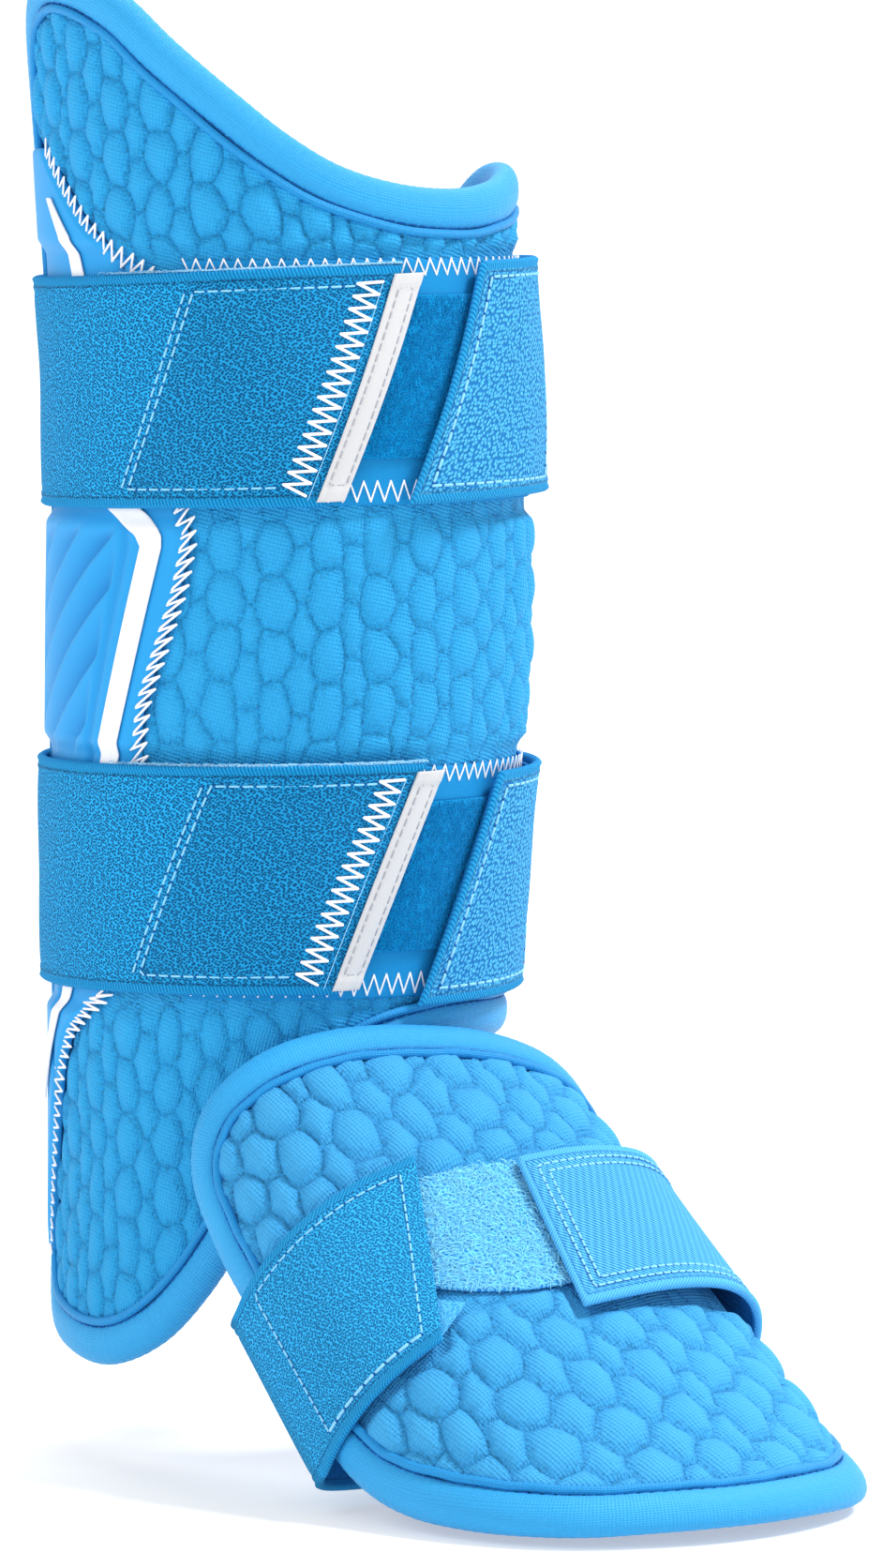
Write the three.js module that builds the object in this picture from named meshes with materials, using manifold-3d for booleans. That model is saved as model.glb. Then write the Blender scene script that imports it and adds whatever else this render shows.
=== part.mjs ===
// Batter's leg guard: a quilted shin pad that wraps the calf and an arched, quilted foot pad below it.
// Each pad has a rolled edge binding. Two wide elastic straps close round the calf and one under the foot.
// Millimetres, +Z up the leg, -Y out of the front of the shin, -X towards the smooth side panel.
// Every piece is cut in the flat, as cloth is, and then laid on the shin's or the foot's surface.

import * as THREE from 'three';
import { mergeVertices } from 'three/addons/utils/BufferGeometryUtils.js';
import Module from 'manifold-3d';

const wasm = await Module();
wasm.setup();

// Driving dimensions
const legMiddle = 247;          // height of the origin above the floor, midway between the calf straps
const girthRadius = 65;         // radius at which lengths round the shin are measured
const girthTurn = 2 * Math.PI * girthRadius;
const padSeam = 6;              // pad thickness on a quilting seam
const padPressed = 5.5;         // pad thickness where a strap, patch or panel presses it flat
const liningThick = 3;          // plain inner face of a pad, under the quilting
const padCrown = 9;             // pad thickness at the crown of a quilting cell
const cellPitch = 14;           // height of a quilting cell across its flats
const bindingHalfWidth = 5.5;   // half the rolled binding, measured along the pad
const bindingHalfThick = 3.9;   // half the rolled binding, measured through the pad
const bindingRise = 4.1;        // middle of the binding above the pad's inner face
const bindingSides = 6;         // facets round the binding
const shinEdgeSteps = 112;      // facets along the shin binding
const footEdgeSteps = 66;       // facets along the foot binding
const seat = 0.3;               // gap kept between pieces that lie on each other
const panelPress = 2.1;         // how far a strap presses the panel's face and its stripe down
const pressMargin = 7;          // how far beyond a piece's edge the quilting under it is pressed flat
const sheetStep = 10;           // longest facet of a sheet bent round the leg or the foot
const rowStep = 22;             // longest facet of a sheet up the leg or along the foot
const footStep = 8;             // longest facet of the foot strap, which bends more tightly
const mergeGap = 1e-4;          // vertices closer than this are one

// Layers on a pad, as heights of the lower and upper face above the pad's inner face
// The panel and its stripe are given as they stand between the straps, and are pressed lower under them
const layers = {
  panel: [6.0, 9.0],
  stripe: [9.4, 10.0],
  loopBase: [5.9, 6.8],
  loopField: [7.0, 7.8],
  strap: [8.5, 10.3],
  endBar: [10.6, 11.4],
  hookTab: [8.4, 9.4],
  footPatch: [5.8, 7.0],
  footHook: [7.3, 8.2],
  footStrap: [8.5, 10.3],
  link: [-2.4, -0.4],
};

// Shin sections from the ankle up: the section's centre lies this far behind the leg's axis
const shinSections = [
  { height: 40, behind: 8, inner: 52.5 },
  { height: 140, behind: 6, inner: 53 },
  { height: 180, behind: 4.5, inner: 54.5 },
  { height: 240, behind: 0, inner: 56.5 },
  { height: 307, behind: 0, inner: 56 },
  { height: 365, behind: 6, inner: 56 },
  { height: 415, behind: 10, inner: 57.5 },
];

// Middle line of the shin binding, clockwise from the front of the top edge: [girth, height]
const shinEdgeRows = [
  [-5, 359.7], [16, 358], [40, 360], [68, 364.5], [90, 363], [105, 353], [111, 336],
  [112, 240], [110, 168], [104, 151], [88, 144], [55, 143.8], [8, 144],
  [-16, 138], [-36, 119], [-50, 96], [-63, 78], [-77, 65.5], [-95, 59], [-115, 60],
  [-132, 64.5], [-143, 77], [-148, 100], [-152, 180], [-152, 260], [-147, 330], [-140, 385],
  [-131, 407], [-116, 416], [-99, 415.5], [-83.6, 409], [-70, 398], [-52.5, 384.2], [-38, 373.1],
  [-23, 364.7],
];

// Side panel: its back edge and the zigzag seam at its front, as girths at each height
const panelRows = [
  { height: 100, back: -140.5, seam: -138 },
  { height: 112, back: -141.5, seam: -128 },
  { height: 128, back: -142.5, seam: -116 },
  { height: 144, back: -143.5, seam: -102.5 },
  { height: 152, back: -144, seam: -91.7 },
  { height: 214, back: -145, seam: -79.3 },
  { height: 230, back: -145, seam: -77.8 },
  { height: 245, back: -145, seam: -72.3 },
  { height: 260, back: -144.5, seam: -67 },
  { height: 273, back: -143.5, seam: -64.3 },
  { height: 280, back: -143, seam: -66.5 },
  { height: 342, back: -138, seam: -77.5 },
  { height: 347, back: -137.5, seam: -88 },
  { height: 354, back: -136.5, seam: -98 },
  { height: 364, back: -135.3, seam: -108.5 },
  { height: 374, back: -134, seam: -119 },
];

// White stripe on the panel, as the girths of its two edges at each height
const stripeRows = [
  { height: 121, back: -133.5, front: -130.5 },
  { height: 135, back: -124.5, front: -118.5 },
  { height: 152, back: -113.5, front: -106.5 },
  { height: 214, back: -93.4, front: -86.4 },
  { height: 271, back: -77.8, front: -71.2 },
  { height: 274, back: -79.5, front: -71.2 },
  { height: 276, back: -83, front: -72.5 },
  { height: 279.5, back: -90, front: -77.2 },
  { height: 285, back: -98, front: -86 },
  { height: 341, back: -104.5, front: -98.5 },
  { height: 351, back: -107, front: -101.5 },
  { height: 361, back: -114.5, front: -112 },
];

// Calf straps: mean heights of the edges, how far each edge climbs towards the front right, how far the
// fixed end stands above the free end, edges of the loop base, and girths at the lower and upper edge:
// the pull bar's front, its width, and the free end
const calfStraps = [
  {
    name: 'upper', low: 281.5, high: 342.9, lowClimb: 1.6, highClimb: 2.5, spiral: 0,
    baseLow: 282, baseHigh: 345.2, barFront: [-25.7, 0.9], barWidth: [7.3, 9.4], freeEnd: [-8.2, 20],
  },
  {
    name: 'lower', low: 152.5, high: 213, lowClimb: 0, highClimb: 0, spiral: 2,
    baseLow: 152.8, baseHigh: 213.2, barFront: [-17.4, 6.5], barWidth: [7.7, 9.3], freeEnd: [0.6, 27],
  },
];
const climbTurn = THREE.MathUtils.degToRad(50); // turn round the leg at which a strap's edges are highest
const barShares = [0.02, 0.96]; // part of the strap's width that its pull bar covers
const barOverlap = 2.5;         // how far the strap reaches under its pull bar
const tabLift = 1.4;            // how far the free strap end lies above the fixed end, over its hook tab
const tabLiftFrom = -245;       // girth behind the leg where that lift starts
const tabLiftTo = -295;         // girth at the pad's free edge where that lift is complete
const hookTabLength = 58;       // length of a hook tab under a free strap end
const hookTabInset = 1.5;       // how far its end lies back from the strap's end
const hookTabShares = [0.03, 0.97]; // part of the strap's width that it covers
const loopBaseGirths = [-66, 98];
const loopFieldGirths = [-58, 92];
const loopFieldInset = { low: 12, high: 9 }; // strips of plain base left below and above the loop field

// Foot pad: a ridge that runs down and forward from the ankle, with an arch across it
const ridgeTop = { y: -73, z: 139 };
const ankleSlope = THREE.MathUtils.degToRad(39);
const toeSlope = THREE.MathUtils.degToRad(33);
const footLength = 190;         // length of ridge over which the slope changes and the arch widens
const footFlare = 0.16;         // share by which the arch is wider after that length
const crownRadius = 100;
const crownHalf = 38;           // half width of the flatter crown, along the arch
const sideRadius = 42;

// Middle line of the foot binding from the ankle to the toe: half its width across, its place along,
// and how far the edge sits back on the left and forward on the right
const footEdgeRows = [
  { half: 30, along: -10, slant: 3.5 },
  { half: 54, along: -7.5, slant: 6 },
  { half: 70, along: -3, slant: 7 },
  { half: 80, along: 6, slant: 7 },
  { half: 84, along: 22, slant: 5 },
  { half: 83.5, along: 50, slant: 2 },
  { half: 82.5, along: 84, slant: 0 },
  { half: 77, along: 107, slant: 0 },
  { half: 63, along: 130, slant: 0 },
  { half: 43, along: 150, slant: 0 },
  { half: 22, along: 159.5, slant: 0 },
];
const footEdgeEnds = { ankle: -9.5, toe: 163 };

// Foot strap: each tab's middle along the foot, how that shifts across the foot, its half width
// and its slanted end
const footTabs = {
  left: { along: 57, skew: -0.1, half: 28, endNear: -26, endFar: -45 },
  right: { along: 65.2, skew: -0.12, half: 26.3, endNear: -0.4, endFar: -8.7 },
};
const footSideAcross = 88;      // place on the arch where its side stands upright
const footStrapSag = 12;        // depth of the loop under the foot, below the upright sides
const footStrapSquareness = 3.4; // exponent of that loop's outline
const footStrapBulge = 3;       // how far the right side of the strap stands off the pad
const footPatch = { left: -60, right: 26, near: 37, far: 81.5, middle: -10, round: 0.009 };
const footHook = { left: -74, endNear: -38, endFar: -37, inset: 1 };

const linkHalf = 18;            // half width of the hidden ankle link
const linkMiddle = 14;          // its middle, beside the low side of the shin pad
const linkShinHeights = [172, 160, 150, 141, 132];
const linkFootAlong = [6, 16, 28];

const colours = {
  quilt: 0x3cabe8, binding: 0x48b6f2, panel: 0x3ab0ef, white: 0xf4f4f5,
  elastic: 0x2b97d7, hook: 0x2f95d4, loop: 0x0a7ec3, base: 0x2098da, patch: 0x71cefc, link: 0x2a86c4,
};

// Surfaces

const sectionCurve = new THREE.CubicInterpolant(
  shinSections.map((row) => row.height),
  shinSections.flatMap((row) => [row.behind, row.inner]),
  2,
);

function onShin(girth, height, rise) {
  const [behind, inner] = sectionCurve.evaluate(height);
  const turn = girth / girthRadius;
  const radius = inner + rise;
  return new THREE.Vector3(radius * Math.sin(turn), behind - radius * Math.cos(turn), height);
}

// A point of the foot's cross plane: sideways from the ridge and up from it, at a place along the foot
function onFootPlane(sideways, up, along) {
  const bend = (toeSlope - ankleSlope) / footLength;
  const slope = ankleSlope + bend * along;
  const y = ridgeTop.y - (Math.sin(slope) - Math.sin(ankleSlope)) / bend;
  const z = ridgeTop.z + (Math.cos(slope) - Math.cos(ankleSlope)) / bend;
  return new THREE.Vector3(sideways, y - up * Math.sin(slope), z + up * Math.cos(slope));
}

function footArch(across, along, rise) {
  const far = Math.abs(across);
  const side = Math.sign(across);
  const crownLean = Math.min(far, crownHalf) / crownRadius;
  const lean = crownLean + Math.max(far - crownHalf, 0) / sideRadius;
  const out = crownRadius * Math.sin(crownLean) + sideRadius * (Math.sin(lean) - Math.sin(crownLean));
  const drop = crownRadius * (1 - Math.cos(crownLean)) + sideRadius * (Math.cos(crownLean) - Math.cos(lean));
  const flare = 1 + footFlare * along / footLength;
  const proud = rise - padCrown;
  return {
    sideways: side * (out * flare + proud * Math.sin(lean)),
    up: proud * Math.cos(lean) - drop * flare,
  };
}

function onFoot(across, along, rise) {
  const { sideways, up } = footArch(across, along, rise);
  return onFootPlane(sideways, up, along);
}

// Solids

// Merges shared vertices and turns the faces outwards
function closeSolid(geometry) {
  geometry.deleteAttribute('normal');
  geometry.deleteAttribute('uv');
  const solid = mergeVertices(geometry, mergeGap);
  const corner = [new THREE.Vector3(), new THREE.Vector3(), new THREE.Vector3()];
  const { position } = solid.attributes;
  const index = solid.index.array;
  let volume = 0;
  for (let i = 0; i < index.length; i += 3) {
    corner.forEach((point, k) => point.fromBufferAttribute(position, index[i + k]));
    volume += corner[0].dot(corner[1].cross(corner[2])) / 6;
  }
  if (volume < 0) index.reverse();
  return solid;
}

function reshape(geometry, place) {
  const { position, uv } = geometry.attributes;
  const point = new THREE.Vector3();
  for (let i = 0; i < position.count; i += 1) {
    point.fromBufferAttribute(position, i);
    const { x, y, z } = place(point, uv ? new THREE.Vector2().fromBufferAttribute(uv, i) : null);
    position.setXYZ(i, x, y, z);
  }
  return closeSolid(geometry);
}

function toManifold(geometry) {
  return new wasm.Manifold(new wasm.Mesh({
    numProp: 3,
    vertProperties: geometry.attributes.position.array,
    triVerts: new Uint32Array(geometry.index.array),
  }));
}

function fromManifold(solid) {
  const { vertProperties, triVerts } = solid.getMesh();
  const geometry = new THREE.BufferGeometry();
  geometry.setAttribute('position', new THREE.BufferAttribute(vertProperties, 3));
  geometry.setIndex(new THREE.BufferAttribute(triVerts, 1));
  return geometry;
}

// A sheet laid on a surface: place gives [u, v, lift] from its two fractions, near to far and low to high
function sheet(surface, layer, length, width, place) {
  const columns = Math.ceil(length / sheetStep);
  const rows = Math.ceil(width / rowStep);
  const [lower, upper] = layer;
  return reshape(new THREE.BoxGeometry(1, 1, 1, columns, rows, 1), (point) => {
    const [u, v, lift = 0] = place(point.x + 0.5, point.y + 0.5);
    return surface(u, v, (point.z > 0 ? upper : lower) + lift);
  });
}

// Lowest and highest place that a calf strap reaches on its way round the leg
function strapReach({ low, high, lowClimb, highClimb, spiral }) {
  return [low - lowClimb - spiral, high + highClimb + spiral];
}

// Share of a calf strap's pressure at a height: 1 under a strap, falling to 0 a little way beyond its edges
function underStrap(height) {
  const shares = calfStraps.map(strapReach).map(([low, high]) => (
    THREE.MathUtils.smoothstep(height, low - pressMargin, low - 1)
    * (1 - THREE.MathUtils.smoothstep(height, high + 1, high + pressMargin))
  ));
  return Math.max(...shares);
}

// A sheet whose two edges are given by table rows, with further rows where it dips under a strap
function rowSheet(rows, nearKey, farKey, layer) {
  const edges = new THREE.LinearInterpolant(
    rows.map((row) => row.height),
    rows.flatMap((row) => [row[nearKey], row[farKey]]),
    2,
  );
  const strapEdges = calfStraps.map(strapReach).flatMap(([low, high]) => (
    [low - pressMargin, low - 1, high + 1, high + pressMargin]
  ));
  const breaks = [...rows.map((row) => row.height), ...strapEdges]
    .filter((height) => height >= rows[0].height && height <= rows.at(-1).height)
    .sort((a, b) => a - b)
    .filter((height, i, all) => i === 0 || height - all[i - 1] > 1);
  const heights = breaks.flatMap((height, i) => {
    const gap = i === 0 ? 0 : height - breaks[i - 1];
    const parts = Math.max(1, Math.ceil(gap / rowStep));
    return Array.from({ length: parts }, (_, k) => height - gap * (parts - 1 - k) / parts);
  });
  const widest = Math.max(...rows.map((row) => row[farKey] - row[nearKey]));
  const box = new THREE.BoxGeometry(1, 1, 1, Math.ceil(widest / sheetStep), heights.length - 1, 1);
  return reshape(box, (point) => {
    const height = heights[Math.round((point.y + 0.5) * (heights.length - 1))];
    const [near, far] = edges.evaluate(height);
    const pressed = panelPress * underStrap(height);
    const rise = point.z > 0 ? layer[1] - pressed : Math.max(layer[0] - pressed, layers.panel[0]);
    return onShin(THREE.MathUtils.lerp(near, far, point.x + 0.5), height, rise);
  });
}

// Edges of the pads

function closedEdge(points) {
  return new THREE.CatmullRomCurve3(points.map(([u, v]) => new THREE.Vector3(u, v, 0)), true, 'centripetal');
}

const shinEdge = closedEdge(shinEdgeRows);
const footEdge = closedEdge([
  [0, footEdgeEnds.ankle],
  ...footEdgeRows.map(({ half, along, slant }) => [-half, along - slant]),
  [0, footEdgeEnds.toe],
  ...footEdgeRows.toReversed().map(({ half, along, slant }) => [half, along + slant]),
]);

// A point at a share of the edge's length, moved to the inside of a clockwise edge
function edgePoint(edge, share, inset) {
  const point = edge.getPointAt(share % 1);
  const tangent = edge.getTangentAt(share % 1);
  return new THREE.Vector2(point.x + inset * tangent.y, point.y - inset * tangent.x);
}

function rolledBinding(surface, edge, steps) {
  return reshape(new THREE.TorusGeometry(1, 0.5, bindingSides, steps), (point, uv) => {
    const angle = uv.y * 2 * Math.PI;
    const { x, y } = edgePoint(edge, uv.x, bindingHalfWidth * Math.cos(angle));
    return surface(x, y, bindingRise + bindingHalfThick * Math.sin(angle));
  });
}

// Quilting in the flat: a slab on a lattice of triangles, where every third point is a hexagon cell's crown
function quilting(box, isPressed) {
  const side = cellPitch / Math.sqrt(3);
  const rise = cellPitch / 2;
  const firstRow = Math.floor(box.min.y / rise) - 1;
  const lastRow = Math.ceil(box.max.y / rise) + 1;
  const firstColumn = Math.floor(box.min.x / side + firstRow / 2) - 1;
  const lastColumn = Math.ceil(box.max.x / side + lastRow / 2) + 1;
  const columns = lastColumn - firstColumn;
  const rows = lastRow - firstRow;
  return reshape(new THREE.BoxGeometry(1, 1, 1, columns, rows, 1), (point) => {
    const column = Math.round((point.x + 0.5) * columns) + firstColumn;
    const row = Math.round((point.y + 0.5) * rows) + firstRow;
    const u = side * (column - row / 2);
    const v = rise * row;
    const crown = (column + row) % 3 === 0 ? padCrown : padSeam;
    const top = isPressed(u, v) ? padPressed : crown;
    return new THREE.Vector3(u, v, point.z > 0 ? top : liningThick / 2);
  });
}

function lining(box) {
  const size = box.getSize(new THREE.Vector2()).addScalar(2 * sheetStep);
  const middle = box.getCenter(new THREE.Vector2());
  const columns = Math.ceil(size.x / sheetStep);
  const rows = Math.ceil(size.y / rowStep);
  const slab = new THREE.BoxGeometry(size.x, size.y, liningThick, columns, rows, 1);
  return closeSolid(slab.translate(middle.x, middle.y, liningThick / 2));
}

// A quilted pad: quilting and lining joined, cut to the pad's edge and laid on its surface
function quiltedPad(surface, edge, steps, isPressed) {
  const outline = Array.from({ length: steps }, (_, i) => (
    edgePoint(edge, i / steps, bindingHalfWidth + seat)
  ));
  const box = new THREE.Box2().setFromPoints(outline);
  const cut = { depth: 3 * padCrown, bevelEnabled: false };
  const cutter = new THREE.ExtrudeGeometry(new THREE.Shape(outline), cut);
  cutter.translate(0, 0, -padCrown);
  const slab = toManifold(quilting(box, isPressed)).add(toManifold(lining(box)));
  const pad = slab.intersect(toManifold(closeSolid(cutter)));
  return reshape(fromManifold(pad), (point) => surface(point.x, point.y, point.z));
}

const panelSeam = new THREE.LinearInterpolant(
  panelRows.map((row) => row.height),
  panelRows.map((row) => row.seam),
  1,
);

function shinPressed(girth, height) {
  const nearStrap = calfStraps.map(strapReach).some(([low, high]) => (
    height > low - pressMargin && height < high + pressMargin
  ));
  const steps = [-pressMargin, 0, pressMargin];
  const seam = Math.max(...steps.map((step) => panelSeam.evaluate(height + step)[0]));
  const bottom = panelRows[0].height - pressMargin;
  const inPanel = height > bottom && height < panelRows.at(-1).height + pressMargin;
  return nearStrap || (inPanel && girth < seam + pressMargin);
}

function footPressed(across, along) {
  const tab = across < footTabs.right.endFar ? footTabs.left : footTabs.right;
  const underTab = Math.abs(along - tab.along - tab.skew * across) < tab.half + pressMargin;
  const underPatch = across > footPatch.left - pressMargin && across < footPatch.right + pressMargin
    && along > footPatch.near - pressMargin && along < footPatch.far + pressMargin;
  return underTab || underPatch;
}

// Calf straps

// A girth between the one at a strap's lower edge and the one at its upper edge
function slanted([low, high], up) {
  return THREE.MathUtils.lerp(low, high, up);
}

function strapHeight(strap, girth, share) {
  const climb = Math.cos(girth / girthRadius - climbTurn);
  const low = strap.low + strap.lowClimb * climb;
  const high = strap.high + strap.highClimb * climb;
  return THREE.MathUtils.lerp(low, high, share) + strap.spiral * (1 + 2 * girth / girthTurn);
}

// From the end under the pull bar, round the back of the leg, to the free end that lies over the hook tab
function calfStrap(strap) {
  return sheet(onShin, layers.strap, girthTurn, strap.high - strap.low, (along, up) => {
    const from = slanted(strap.barFront, up) - slanted(strap.barWidth, up) + barOverlap;
    const to = slanted(strap.freeEnd, up) - girthTurn;
    const girth = THREE.MathUtils.lerp(from, to, along);
    const lift = tabLift * (1 - THREE.MathUtils.smoothstep(girth, tabLiftTo, tabLiftFrom));
    return [girth, strapHeight(strap, girth, up), lift];
  });
}

function endBar(strap) {
  return sheet(onShin, layers.endBar, strap.barWidth[1], strap.high - strap.low, (along, up) => {
    const share = slanted(barShares, up);
    const girth = slanted(strap.barFront, share) - slanted(strap.barWidth, share) * (1 - along);
    return [girth, strapHeight(strap, girth, share)];
  });
}

function hookTab(strap) {
  return sheet(onShin, layers.hookTab, hookTabLength, strap.high - strap.low, (along, up) => {
    const girth = slanted(strap.freeEnd, up) + hookTabInset + hookTabLength * along;
    return [girth, strapHeight(strap, girth - girthTurn, slanted(hookTabShares, up))];
  });
}

function loopBand(layer, [from, to], low, high) {
  return sheet(onShin, layer, to - from, high - low, (along, up) => [
    THREE.MathUtils.lerp(from, to, along),
    THREE.MathUtils.lerp(low, high, up),
  ]);
}

// Foot strap: from the left tab, round the left edge, under the foot, and up the right side
function footStrap() {
  const { left, right } = footTabs;
  const leftLength = footSideAcross + (left.endNear + left.endFar) / 2;
  const rightLength = footSideAcross - (right.endNear + right.endFar) / 2;
  const underLength = 2 * footSideAcross;
  const length = leftLength + underLength + rightLength;
  const [lower, upper] = layers.footStrap;
  const columns = Math.ceil(length / footStep);
  const rows = Math.ceil(2 * left.half / rowStep);
  return reshape(new THREE.BoxGeometry(1, 1, 1, columns, rows, 1), (point) => {
    const travel = (point.x + 0.5) * length;
    const side = point.y * 2;
    const rise = point.z > 0 ? upper : lower;
    if (travel <= leftLength) {
      const end = THREE.MathUtils.lerp(left.endNear, left.endFar, point.y + 0.5);
      const across = THREE.MathUtils.lerp(end, -footSideAcross, travel / leftLength);
      return onFoot(across, left.along + left.skew * across + side * left.half, rise);
    }
    if (travel >= leftLength + underLength) {
      const share = (travel - leftLength - underLength) / rightLength;
      const end = THREE.MathUtils.lerp(right.endNear, right.endFar, point.y + 0.5);
      const across = THREE.MathUtils.lerp(footSideAcross, end, share);
      const bulge = footStrapBulge * Math.sin(Math.PI * share) ** 2;
      return onFoot(across, right.along + right.skew * across + side * right.half, rise + bulge);
    }
    return underFoot((travel - leftLength) / underLength, side, rise);
  });
}

// The stretch of the foot strap below the pad's edges, a rounded trough between the two upright sides
function underFoot(share, side, rise) {
  const { left, right } = footTabs;
  const leftAlong = left.along - left.skew * footSideAcross + side * left.half;
  const rightAlong = right.along + right.skew * footSideAcross + side * right.half;
  const along = THREE.MathUtils.lerp(leftAlong, rightAlong, share);
  const arch = footArch(footSideAcross, along, rise);
  const angle = Math.PI * share;
  const round = 2 / footStrapSquareness;
  const outward = -Math.sign(Math.cos(angle)) * Math.abs(Math.cos(angle)) ** round;
  const depth = Math.sin(angle) ** round;
  const reach = footStrapSag + rise - layers.footStrap[0];
  return onFootPlane(arch.sideways * outward, arch.up - reach * depth, along);
}

// Loop patch with a rounded edge towards the toe
function footLoopPatch() {
  const { left, right, near, far, middle, round } = footPatch;
  return sheet(onFoot, layers.footPatch, right - left, far - near, (share, out) => {
    const across = THREE.MathUtils.lerp(left, right, share);
    return [across, THREE.MathUtils.lerp(near, far - round * (across - middle) ** 2, out)];
  });
}

// Hook patch under the left tab, with one corner showing past the tab's slanted end
function footHookTab() {
  const { left, endNear, endFar, inset } = footHook;
  const { along, skew } = footTabs.left;
  const half = footTabs.left.half - inset;
  return sheet(onFoot, layers.footHook, endNear - left, 2 * half, (share, out) => {
    const across = THREE.MathUtils.lerp(left, THREE.MathUtils.lerp(endNear, endFar, out), share);
    return [across, along + skew * across + THREE.MathUtils.lerp(-half, half, out)];
  });
}

// Hidden webbing down the inside of the shin pad and on under the foot pad
function ankleLink() {
  const [inside, outside] = layers.link;
  const stations = [
    ...linkShinHeights.map((height) => (u, rise) => onShin(u, height, rise)),
    ...linkFootAlong.map((along) => (u, rise) => onFoot(u, along, rise)),
  ];
  const box = new THREE.BoxGeometry(1, 1, 1, Math.ceil(2 * linkHalf / sheetStep), stations.length - 1, 1);
  return reshape(box, (point) => {
    const station = stations[Math.round((0.5 - point.y) * (stations.length - 1))];
    return station(linkMiddle + point.x * 2 * linkHalf, point.z > 0 ? outside : inside);
  });
}

// Assembly

const guard = new THREE.Group();
guard.position.z = -legMiddle;

function addPiece(name, geometry, color, roughness = 0.9) {
  const mesh = new THREE.Mesh(geometry, new THREE.MeshStandardMaterial({ color, roughness, metalness: 0 }));
  mesh.name = name;
  guard.add(mesh);
}

addPiece('shin_pad', quiltedPad(onShin, shinEdge, shinEdgeSteps, shinPressed), colours.quilt);
addPiece('shin_binding', rolledBinding(onShin, shinEdge, shinEdgeSteps), colours.binding, 0.6);
addPiece('side_panel', rowSheet(panelRows, 'back', 'seam', layers.panel), colours.panel, 0.6);
addPiece('side_stripe', rowSheet(stripeRows, 'back', 'front', layers.stripe), colours.white, 0.7);

for (const strap of calfStraps) {
  const { baseLow, baseHigh } = strap;
  const fieldLow = baseLow + loopFieldInset.low;
  const fieldHigh = baseHigh - loopFieldInset.high;
  const base = loopBand(layers.loopBase, loopBaseGirths, baseLow, baseHigh);
  const field = loopBand(layers.loopField, loopFieldGirths, fieldLow, fieldHigh);
  addPiece(`${strap.name}_loop_base`, base, colours.base);
  addPiece(`${strap.name}_loop_field`, field, colours.loop, 1);
  addPiece(`${strap.name}_calf_strap`, calfStrap(strap), colours.elastic);
  addPiece(`${strap.name}_end_bar`, endBar(strap), colours.white, 0.7);
  addPiece(`${strap.name}_hook_tab`, hookTab(strap), colours.hook);
}

addPiece('foot_pad', quiltedPad(onFoot, footEdge, footEdgeSteps, footPressed), colours.quilt);
addPiece('foot_binding', rolledBinding(onFoot, footEdge, footEdgeSteps), colours.binding, 0.6);
addPiece('foot_loop_patch', footLoopPatch(), colours.patch, 1);
addPiece('foot_hook_tab', footHookTab(), colours.hook);
addPiece('foot_strap', footStrap(), colours.elastic);
addPiece('ankle_link', ankleLink(), colours.link);

export default guard;
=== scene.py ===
import math

import bmesh
import bpy
import numpy as np
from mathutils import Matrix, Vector


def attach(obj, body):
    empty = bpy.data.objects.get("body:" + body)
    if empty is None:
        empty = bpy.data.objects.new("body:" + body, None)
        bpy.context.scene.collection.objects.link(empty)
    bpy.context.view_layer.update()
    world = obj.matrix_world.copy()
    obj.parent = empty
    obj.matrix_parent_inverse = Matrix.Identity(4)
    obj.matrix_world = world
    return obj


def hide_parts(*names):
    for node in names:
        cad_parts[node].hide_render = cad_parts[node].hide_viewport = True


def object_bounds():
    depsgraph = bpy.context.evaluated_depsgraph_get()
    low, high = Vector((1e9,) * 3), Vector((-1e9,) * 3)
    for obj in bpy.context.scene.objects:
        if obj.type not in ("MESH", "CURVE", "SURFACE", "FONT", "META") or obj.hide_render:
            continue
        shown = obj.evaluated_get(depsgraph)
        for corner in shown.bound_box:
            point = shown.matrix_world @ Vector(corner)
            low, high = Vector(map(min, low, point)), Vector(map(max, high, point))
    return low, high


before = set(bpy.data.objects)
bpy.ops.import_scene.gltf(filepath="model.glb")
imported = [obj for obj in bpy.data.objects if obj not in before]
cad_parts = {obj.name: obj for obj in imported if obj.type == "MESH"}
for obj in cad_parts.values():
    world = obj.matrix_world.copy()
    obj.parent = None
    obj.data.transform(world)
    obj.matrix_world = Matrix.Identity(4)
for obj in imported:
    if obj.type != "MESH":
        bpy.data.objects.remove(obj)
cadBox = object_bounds()

# Lengths are written in millimetres and laid out in metres
mm = 0.001
dice = np.random.default_rng(7)
scene = bpy.context.scene
scene.view_settings.view_transform = 'Standard'
print('frame loaded with', len(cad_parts), 'nodes')


# Shin and foot surfaces

shin = {
    'originHeight': 247,      # height of the frame's origin above the floor
    'girthRadius': 65,        # radius at which lengths round the shin are measured
    # height, how far the section's centre lies behind the leg's axis, inner radius
    'sections': ((40, 8, 52.5), (140, 6, 53), (180, 4.5, 54.5), (240, 0, 56.5),
                 (307, 0, 56), (365, 6, 56), (415, 10, 57.5)),
}
girthTurn = 2 * math.pi * shin['girthRadius']

foot = {
    'ridgeY': -73, 'ridgeZ': 139,              # top of the ridge at the ankle
    'ankleSlope': math.radians(39), 'toeSlope': math.radians(33),
    'length': 190, 'flare': 0.16,              # length of ridge, and how much wider the arch is after it
    'crownRadius': 100, 'crownHalf': 38, 'sideRadius': 42,
    'crownRise': 9,                            # rise at which the arch is measured
}


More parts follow.
